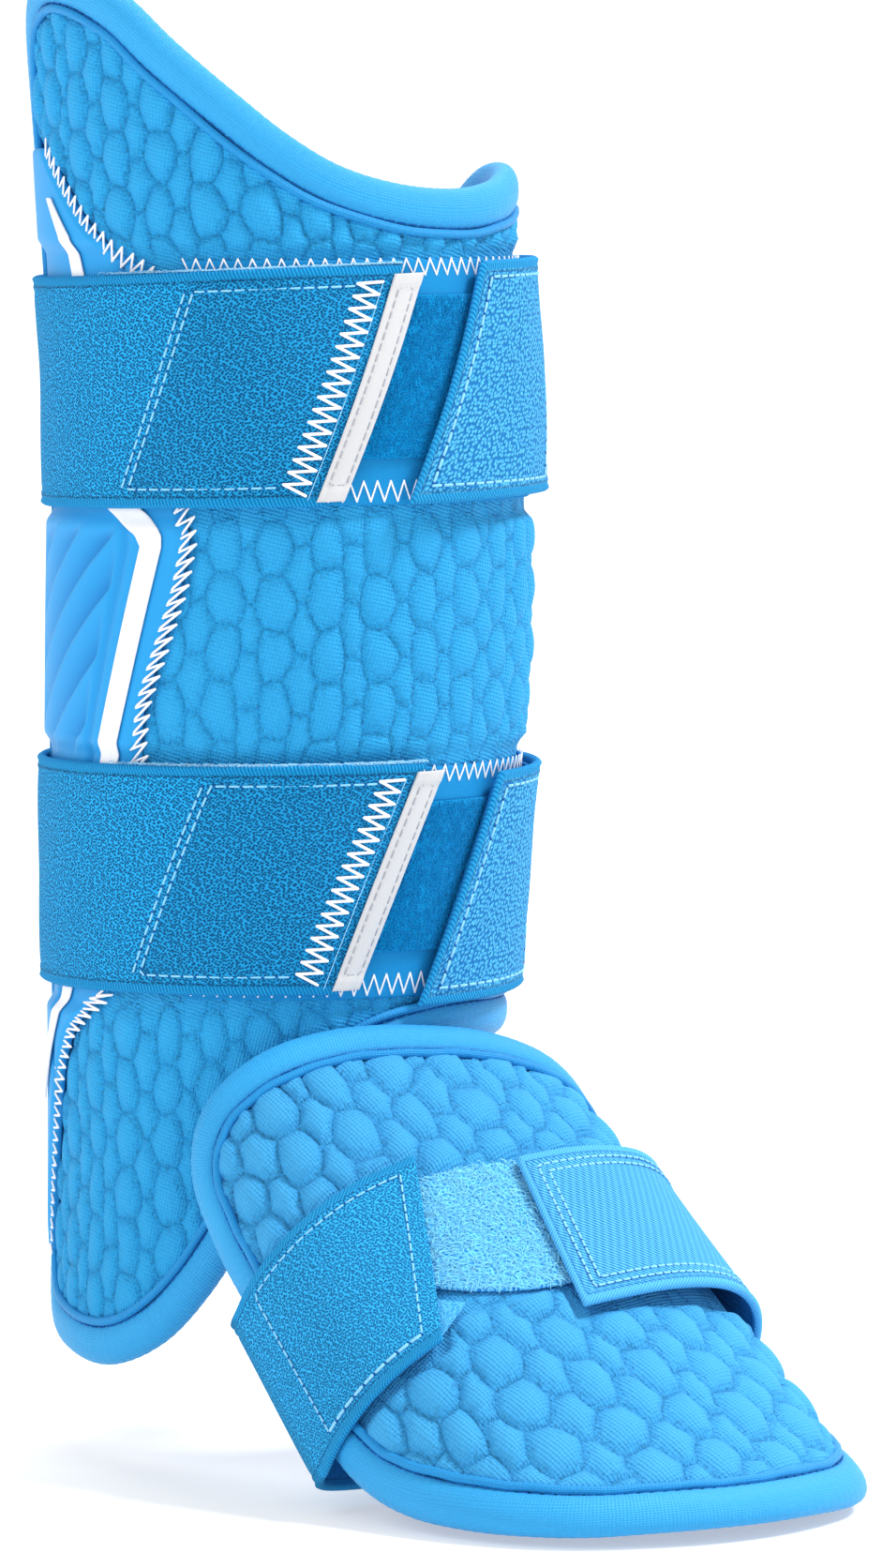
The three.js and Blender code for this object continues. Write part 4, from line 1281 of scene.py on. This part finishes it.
def quiltedPad(name, surface, edge, cellSize, pressOf, fullOf, finish, node):
    share = np.linspace(0, 1, round(edge['length'] * 2), endpoint=False)
    line = np.stack(alongEdge(edge, share, quilt['edgeInset']), 1)
    mesh = quiltSheet(line, *cellSize)
    flat = meshPoints(mesh)[:, :2] * quilt['clothUnit']
    press = pressOf(flat[:, 0], flat[:, 1])
    points = swell(mesh, press)
    print(name, 'swollen to', round(points[:, 2].max(), 2), 'mm over', len(points), 'points')
    setWeave(mesh, flat[:, 0], flat[:, 1])
    # share from the seams to the crowns; the quilt's finish paints shade in the seams and light on the crowns
    # from it, and puckers the cloth by it
    setShare(mesh, 'crown', np.clip(getShare(mesh, 'cell') * 1.3, 0, 1))
    # steeper sides, the right one steepest
    dome = quilt['steepFrom'] * (points[:, 2] / quilt['steepFrom']) ** quilt['steep']
    dome = dome * (1 + quilt['lean'] * getShare(mesh, 'lean')) * fullOf(flat[:, 0], flat[:, 1])
    rise = mixed(quilt['seamRise'] + dome, quilt['pressedRise'], press)
    setPoints(mesh, surface(points[:, 0], points[:, 1], rise))

    low, size = line.min(0), np.ptp(line, axis=0)
    steps = np.ceil(size / quilt['liningStep']).astype(int)
    inner, u, v = gridMesh(*steps.tolist())
    setPoints(inner, np.stack((low[0] + u * size[0], low[1] + v * size[1], 0 * u), 1))
    trimToLine(inner, line, 1)
    flat = meshPoints(inner)
    setWeave(inner, flat[:, 0], flat[:, 1])
    setPoints(inner, surface(flat[:, 0], flat[:, 1], quilt['liningRise']))

    bm = bmesh.new()
    bm.from_mesh(mesh)
    outerFaces = len(bm.faces)
    bm.from_mesh(inner)
    bm.faces.ensure_lookup_table()
    for face in bm.faces[outerFaces:]:
        face.material_index = 1
    bmesh.ops.bridge_loops(bm, edges=[e for e in bm.edges if e.is_boundary])
    bmesh.ops.recalc_face_normals(bm, faces=bm.faces)
    bm.to_mesh(mesh)
    bm.free()
    for leftover in ('cell', 'push', 'lean'):
        mesh.attributes.remove(mesh.attributes[leftover])
    piece = addPiece(name, mesh, finish, 'quilt', [node])
    mesh.materials.append(liningTricot)


def shinPress(girth, height):
    seam = betweenRows(panel['rows'], 2, height)
    low, high = panel['rows'][0][0], panel['rows'][-1][0]
    underPanel = (1 - softStep(girth, seam - 1, seam + 2.5)) * softStep(height, low - 4, low)
    underPanel = underPanel * (1 - softStep(height, high, high + 4))
    return np.maximum(underStraps(height, 4.5), underPanel)


def shinFull(girth, height):
    # the front below the upper strap is pulled flatter, and so is the low lobe beside the foot
    front = softStep(girth, *quilt['frontLeft']) * (1 - softStep(girth, *quilt['frontRight']))
    front = front * (1 - softStep(height, *quilt['frontTop']))
    lobe = quilt['lobeFlat'] * (1 - softStep(height, *quilt['lobeTop']))
    return mixed(quilt['fullEdge'], quilt['fullFront'], np.maximum(front, lobe))


def footFull(across, along):
    return quilt['fullEdge']


footStrap = {
    'rise': 9.4, 'thick': 1.8,
    'left': {'along': 57, 'skew': -0.1, 'half': 28, 'endNear': -26, 'endFar': -45},
    'right': {'along': 65.2, 'skew': -0.12, 'half': 26.3, 'endNear': -0.4, 'endFar': -8.7},
    'sideAcross': 88, 'sag': 12, 'squareness': 3.4, 'bulge': 3,
    'patch': {'left': -60, 'right': 26, 'near': 37, 'far': 81.5, 'middle': -10, 'round': 0.012,
              'rise': 6.4, 'thick': 1.2},
    # the hook patch's end, as shares along the foot and places across it
    'hook': {'left': -74, 'end': ((0, -38), (0.74, -43), (0.87, -34.5), (1, -47)), 'inset': 1,
             'rise': 7.75, 'thick': 0.9},
    'inset': 4.6, 'pitch': 3.3, 'radius': 0.3, 'farPitch': 3.9, 'farRadius': 0.52,
    'tabPitch': 2.8, 'tabRadius': 0.36, 'tabRows': (0, 2.6),      # two rows of stitches on the right tab
    'leftSewn': -80, 'rightSewn': 84,      # places across the foot where the tabs' stitches begin
    'twillTurn': 6,                        # the right tab's ribs begin this far before its fold
    'fibres': 2600, 'fibreAcross': (-52, 6), 'fibreSizes': ((1.2, 4.0), (0.2, 0.8), 0.13),
}


def footPress(across, along):
    patch = footStrap['patch']

    def between(value, low, high):
        return softStep(value, low - 3, low) * (1 - softStep(value, high, high + 3))

    shares = [between(across, patch['left'], patch['right']) * between(along, patch['near'], patch['far'])]
    for name, way in (('left', -1), ('right', 1)):
        tab = footStrap[name]
        half = tab['half']
        shift = along - tab['along'] - tab['skew'] * across
        end = mixed(tab['endNear'], tab['endFar'], np.clip(shift / half / 2 + 0.5, 0, 1))
        onTab = 1 - softStep(np.abs(shift), half, half + 3.5)
        shares.append(onTab * softStep(way * (across - end), -3.5, 0))
    return np.maximum.reduce(shares)


quiltedPad('shinQuilt', onShin, shinEdge, quilt['shinCells'], shinPress, shinFull, shinCloth, 'shin_pad')
quiltedPad('footQuilt', onFoot, footEdge, quilt['footCells'], footPress, footFull, footClothPaintedLight, 'foot_pad')
print('quilted pads made')


# Rolled binding, its piping bead and the stitches between them

roll = {
    'halfWidth': 5.5, 'halfThick': 3.9, 'middle': 4.1, 'step': 1.0, 'sides': 26, 'girth': 30,
    # count round the edge, twist and share of its slow waves, then its close creases
    'waves': ((9, 0, 0.4), (23, 2, 0.3)), 'creasePitch': 3.1, 'creaseTwist': 1.5, 'creaseShare': 0.8,
    'crease': 0.012,           # how far all of them change its thickness
    'shoulder': 0.7,           # below 1 the side next to the piping is boxier
    'beadInset': 6.3, 'beadRadius': 1.2, 'beadRise': 6.75, 'beadStep': 1.5, 'beadSides': 10,
    'beadWander': 0.12, 'beadGirth': 8,
    'stitchInset': 4.75, 'stitchRise': 6.85, 'stitchPitch': 3.4, 'stitchRadius': 0.3,
}


def rolledEdge(name, surface, edge, node):
    length = edge['length']
    mesh, u, v = gridMesh(round(length / roll['step']), roll['sides'])
    angle = math.tau * v
    turn = math.tau * u
    around = sum(share * np.sin(turn * count + twist * angle) for count, twist, share in roll['waves'])
    creases = turn * round(length / roll['creasePitch']) + roll['creaseTwist'] * np.sin(angle)
    full = 1 + roll['crease'] * (around + roll['creaseShare'] * np.sin(creases))
    shoulder = (np.cos(angle) > 0) & (np.sin(angle) > 0)
    power = np.where(shoulder, roll['shoulder'], 1)
    inset = np.sign(np.cos(angle)) * np.abs(np.cos(angle)) ** power
    rise = np.sign(np.sin(angle)) * np.abs(np.sin(angle)) ** power
    flat = alongEdge(edge, u, roll['halfWidth'] * inset * full)
    setPoints(mesh, surface(*flat, roll['middle'] + roll['halfThick'] * rise * full))
    setWeave(mesh, u * length, v * roll['girth'])
    closeMesh(mesh)
    piece = addPiece(name + 'Roll', mesh, rollSatin, 'binding', [node])

    mesh, u, v = gridMesh(round(length / roll['beadStep']), roll['beadSides'])
    angle = math.tau * v
    wander = roll['beadWander'] * (np.sin(math.tau * u * 17) + np.sin(math.tau * u * 41 + 1))
    flat = alongEdge(edge, u, roll['beadInset'] + wander + roll['beadRadius'] * np.cos(angle))
    setPoints(mesh, surface(*flat, roll['beadRise'] + roll['beadRadius'] * np.sin(angle)))
    setWeave(mesh, u * length, v * roll['beadGirth'])
    closeMesh(mesh)
    addPiece(name + 'Piping', mesh, pipingSatin, 'binding')

    share = np.linspace(0, 1, round(length * 2))
    groove = np.stack(alongEdge(edge, share, roll['stitchInset']), 1)
    stitches = dashes(runOn(surface, groove, roll['stitchRise']), roll['stitchPitch'])
    stitchPiece(name + 'RollStitches', [stitches], roll['stitchRadius'], holeShadeAndDarkThread, 'binding')


rolledEdge('shin', onShin, shinEdge, 'shin_binding')
rolledEdge('foot', onFoot, footEdge, 'foot_binding')
print('bindings made')


# Foot strap, its patch and its tabs

def underFoot(share, side, rise):
    # the stretch below the pad's edges, a rounded trough between the two upright sides
    left, right, reach = footStrap['left'], footStrap['right'], footStrap['sideAcross']
    leftAlong = left['along'] - left['skew'] * reach + side * left['half']
    along = mixed(leftAlong, right['along'] + right['skew'] * reach + side * right['half'], share)
    sideways, up = footArch(np.full_like(along, reach), along, rise)
    angle = math.pi * share
    power = 2 / footStrap['squareness']
    outward = -np.sign(np.cos(angle)) * np.abs(np.cos(angle)) ** power
    depth = np.maximum(np.sin(angle), 0) ** power
    sag = footStrap['sag'] + rise - (footStrap['rise'] - footStrap['thick'] / 2)
    return onFootPlane(sideways * outward, up - sag * depth, along)


def tabSurface(name):
    # a tab's face by its place across the foot, its side from -1 to 1, and rise
    tab = footStrap[name]
    end = (tab['endNear'] + tab['endFar']) / 2

    def surface(across, side, rise):
        share = (footStrap['sideAcross'] - across) / (footStrap['sideAcross'] - end)
        bulge = footStrap['bulge'] * np.sin(math.pi * np.clip(share, 0, 1)) ** 2 if name == 'right' else 0
        return onFoot(across, tab['along'] + tab['skew'] * across + side * tab['half'], rise + bulge)

    return surface


def footRun(face, line, rise):
    # a line on a tab, given by places across the foot and sides from -1 to 1
    scale = footStrap['left']['half']
    corners = [(across, side * scale) for across, side in line]
    return runOn(lambda across, shift, lift: face(across, shift / scale, lift), corners, rise)


def footStrapPieces():
    left, right, side = footStrap['left'], footStrap['right'], footStrap['sideAcross']
    half = left['half']
    width = 2 * half
    leftLength = side + (left['endNear'] + left['endFar']) / 2
    rightLength = side - (right['endNear'] + right['endFar']) / 2
    length = leftLength + 2 * side + rightLength
    leftFace, rightFace = tabSurface('left'), tabSurface('right')

    def place(along, across, through):
        up = across / width + 0.5
        wave = 0.15 * np.sin(along / 11 + across / 14)
        rise = footStrap['rise'] + through + selvedge(across, width, through) + wave
        share = np.clip(along / leftLength, 0, 1)
        leftAcross = mixed(mixed(left['endNear'], left['endFar'], up), -side, share)
        share = np.clip((along - leftLength - 2 * side) / rightLength, 0, 1)
        rightAcross = mixed(side, mixed(right['endNear'], right['endFar'], up), share)
        shift = 2 * up - 1
        under = underFoot(np.clip((along - leftLength) / (2 * side), 0, 1), shift, rise)
        onLeft, onRight = (along <= leftLength)[:, None], (along >= leftLength + 2 * side)[:, None]
        return np.where(onLeft, leftFace(leftAcross, shift, rise),
                        np.where(onRight, rightFace(rightAcross, shift, rise), under))

    knit = elasticFinish('footElastic', (2 * length, width), -5, 2 * length, footTones, footTones, 0.72)
    piece = band('footStrap', (length, width, footStrap['thick']), (1.6, 1.2), place, knit,
                 'elastic', ['foot_strap'])
    piece.data.materials.append(twillFinish('footTabTwill', (length, width), twillTones))
    weave = piece.data.uv_layers['weave'].data
    for face in piece.data.polygons:
        if weave[face.loop_start].uv.x > leftLength + 2 * side - footStrap['twillTurn']:
            face.material_index = 1

    patch = footStrap['patch']

    def patchFar(across):
        return patch['far'] - patch['round'] * (across - patch['middle']) ** 2

    def patchPlace(along, across, through):
        spot = patch['left'] + along
        share = across / (patch['far'] - patch['near']) + 0.5
        return onFoot(spot, mixed(patch['near'], patchFar(spot), share), patch['rise'] + through)

    size = (patch['right'] - patch['left'], patch['far'] - patch['near'], patch['thick'])
    piece = band('footLoopPatch', size, (1.5, 1.5), patchPlace, lightPile, 'patch', ['foot_loop_patch'])
    count = footStrap['fibres']
    across = dice.uniform(*footStrap['fibreAcross'], count)
    along = mixed(patch['near'] + 0.3, patchFar(across) - 0.3, dice.uniform(0, 1, count))
    spots = (across, along, patch['rise'] + patch['thick'] / 2)
    fibresOn('footPatchFibres', onFoot, spots, footStrap['fibreSizes'], lightFibre, 'patch')

    hook = footStrap['hook']
    hookHalf = half - hook['inset']
    hookLength = hook['end'][0][1] - hook['left']

    def hookPlace(along, across, through):
        end = betweenRows(hook['end'], 1, across / hookHalf / 2 + 0.5)
        spot = mixed(hook['left'], end, along / hookLength)
        return onFoot(spot, left['along'] + left['skew'] * spot + across, hook['rise'] + through)

    piece = band('footHookTab', (hookLength, 2 * hookHalf, hook['thick']), (2, 1), hookPlace, footHookPile,
                 'hook', ['foot_hook_tab'])

    top = footStrap['rise'] + footStrap['thick'] / 2 + strapSewing['lift']
    inset = footStrap['inset']
    leftEdge, rightEdge = 1 - inset / left['half'], 1 - inset / right['half']

    def leftEnd(shift):
        return mixed(left['endNear'], left['endFar'], shift / 2 + 0.5) - inset * 1.1

    def rightEnd(shift, extra=0):
        return mixed(right['endNear'], right['endFar'], shift / 2 + 0.5) + inset + extra

    leftSewn, rightSewn = footStrap['leftSewn'], footStrap['rightSewn']
    corner = (leftEnd(leftEdge), leftEdge)
    box = [(leftSewn, leftEdge), (leftSewn, -leftEdge), (leftEnd(-leftEdge), -leftEdge), corner]
    sewRuns('footTab', [footRun(leftFace, box, top)], footStrap['pitch'], footStrap['radius'])
    far = [corner, (leftSewn, leftEdge)]
    sewRuns('footTabFar', [footRun(leftFace, far, top)], footStrap['farPitch'], footStrap['farRadius'])
    runs = []
    for extra in footStrap['tabRows']:
        edge = rightEdge - extra / right['half']
        ends = [(rightEnd(shift, extra), shift) for shift in (-edge, edge)]
        runs.append(footRun(rightFace, [(rightSewn, -edge), *ends, (rightSewn, edge)], top))
    sewRuns('footStrap', runs, footStrap['tabPitch'], footStrap['tabRadius'])


footStrapPieces()


# Hidden webbing between the pads

link = {
    'half': 18, 'length': 85, 'middle': 14, 'rise': -1.4, 'thick': 2.0,
    'shinHeights': (172, 160, 150, 141, 132), 'footAlong': (6, 16, 28),
}


def ankleLink():
    def station(across, rise):
        spots = [onShin(link['middle'] + across, height, rise) for height in link['shinHeights']]
        spots += [onFoot(link['middle'] + across, along, rise) for along in link['footAlong']]
        return np.stack(spots)

    length = link['length']

    def place(along, across, through):
        spots = station(across, link['rise'] + through)
        where = along / length * (len(spots) - 1)
        k = np.clip(where.astype(int), 0, len(spots) - 2)
        pick = np.arange(len(along))
        return mixed(spots[k, pick], spots[k + 1, pick], (where - k)[:, None])

    piece = band('ankleLink', (length, 2 * link['half'], link['thick']), (2, 2), place, webbing,
                 'webbing', ['ankle_link'])


ankleLink()
print('foot strap and ankle link made')


# Floor, light and camera

stage = {
    'floorGap': 3 * mm, 'floorRadius': 40, 'floorColour': (0.62, 0.62, 0.62, 1),
    'floorGlow': 0.42,                     # a lit table, so that shadows stay pale
    # strength of the white surround at the horizon and overhead
    'sky': {'From Min': 0.15, 'From Max': 0.6, 'To Min': 1.06, 'To Max': 0.62},
    'azimuth': -35, 'elevation': 4.5, 'distance': 2.2, 'lens': 189.5,
    'aside': 0.040, 'lower': -0.042,
    'sunAzimuth': 54, 'sunElevation': 54, 'sunStrength': 2.8, 'sunAngle': 12,
    # place round the object, height, distance, size and watts of each soft light
    'lights': ((-75, 35, 2.4, 1.6, 14), (150, 60, 2.4, 1.2, 30)),
}


def aimed(item, place, target):
    item.location = place
    item.rotation_euler = (Vector(target) - Vector(place)).to_track_quat('-Z', 'Y').to_euler()


def aroundObject(azimuth, elevation, distance):
    turn, tilt = math.radians(azimuth), math.radians(elevation)
    back = Vector((math.sin(turn) * math.cos(tilt), -math.cos(turn) * math.cos(tilt), math.sin(tilt)))
    return back * distance


def makeStage():
    bm = bmesh.new()
    bmesh.ops.create_circle(bm, cap_ends=True, radius=stage['floorRadius'], segments=96)
    bmesh.ops.translate(bm, verts=bm.verts, vec=(0, 0, cadBox[0].z - stage['floorGap']))
    mesh = bpy.data.meshes.new('floor')
    bm.to_mesh(mesh)
    bm.free()
    finish, add, wear = newFinish('paleFloor', 0.9, 0.1)
    shader = finish.node_tree.nodes['Principled BSDF']
    shader.inputs['Base Color'].default_value = stage['floorColour']
    shader.inputs['Emission Color'].default_value = (1, 1, 1, 1)
    shader.inputs['Emission Strength'].default_value = stage['floorGlow']
    mesh.materials.append(finish)
    floor = bpy.data.objects.new('floor', mesh)
    scene.collection.objects.link(floor)

    world = bpy.data.worlds.new('studio')
    world.use_nodes = True
    backdrop = world.node_tree.nodes['Background']
    backdrop.inputs['Color'].default_value = (1, 1, 1, 1)
    nodes, links = world.node_tree.nodes, world.node_tree.links
    height = nodes.new('ShaderNodeSeparateXYZ')
    links.new(nodes.new('ShaderNodeTexCoord').outputs['Generated'], height.inputs[0])
    fade = nodes.new('ShaderNodeMapRange')
    for key, value in stage['sky'].items():
        fade.inputs[key].default_value = value
    links.new(height.outputs['Z'], fade.inputs['Value'])
    links.new(fade.outputs[0], backdrop.inputs['Strength'])
    scene.world = world

    sun = bpy.data.lights.new('windowLight', 'SUN')
    sun.energy = stage['sunStrength']
    sun.angle = math.radians(stage['sunAngle'])
    lamp = bpy.data.objects.new(sun.name, sun)
    aimed(lamp, aroundObject(stage['sunAzimuth'], stage['sunElevation'], 2), (0, 0, 0))
    scene.collection.objects.link(lamp)
    for number, (azimuth, elevation, distance, size, watts) in enumerate(stage['lights']):
        light = bpy.data.lights.new(f'softLight{number}', 'AREA')
        light.shape = 'DISK'
        light.size = size
        light.energy = watts
        lamp = bpy.data.objects.new(light.name, light)
        aimed(lamp, aroundObject(azimuth, elevation, distance), (0, 0, 0))
        scene.collection.objects.link(lamp)

    camera = bpy.data.objects.new('camera', bpy.data.cameras.new('camera'))
    camera.data.lens = stage['lens']
    camera.data.sensor_width = 36
    turn = math.radians(stage['azimuth'])
    aside = Vector((math.cos(turn), math.sin(turn), 0)) * stage['aside']
    target = aside + Vector((0, 0, stage['lower']))
    aimed(camera, target + aroundObject(stage['azimuth'], stage['elevation'], stage['distance']), target)
    camera.data.clip_start, camera.data.clip_end = 0.05, 100
    scene.collection.objects.link(camera)
    scene.camera = camera


makeStage()
print('stage made')
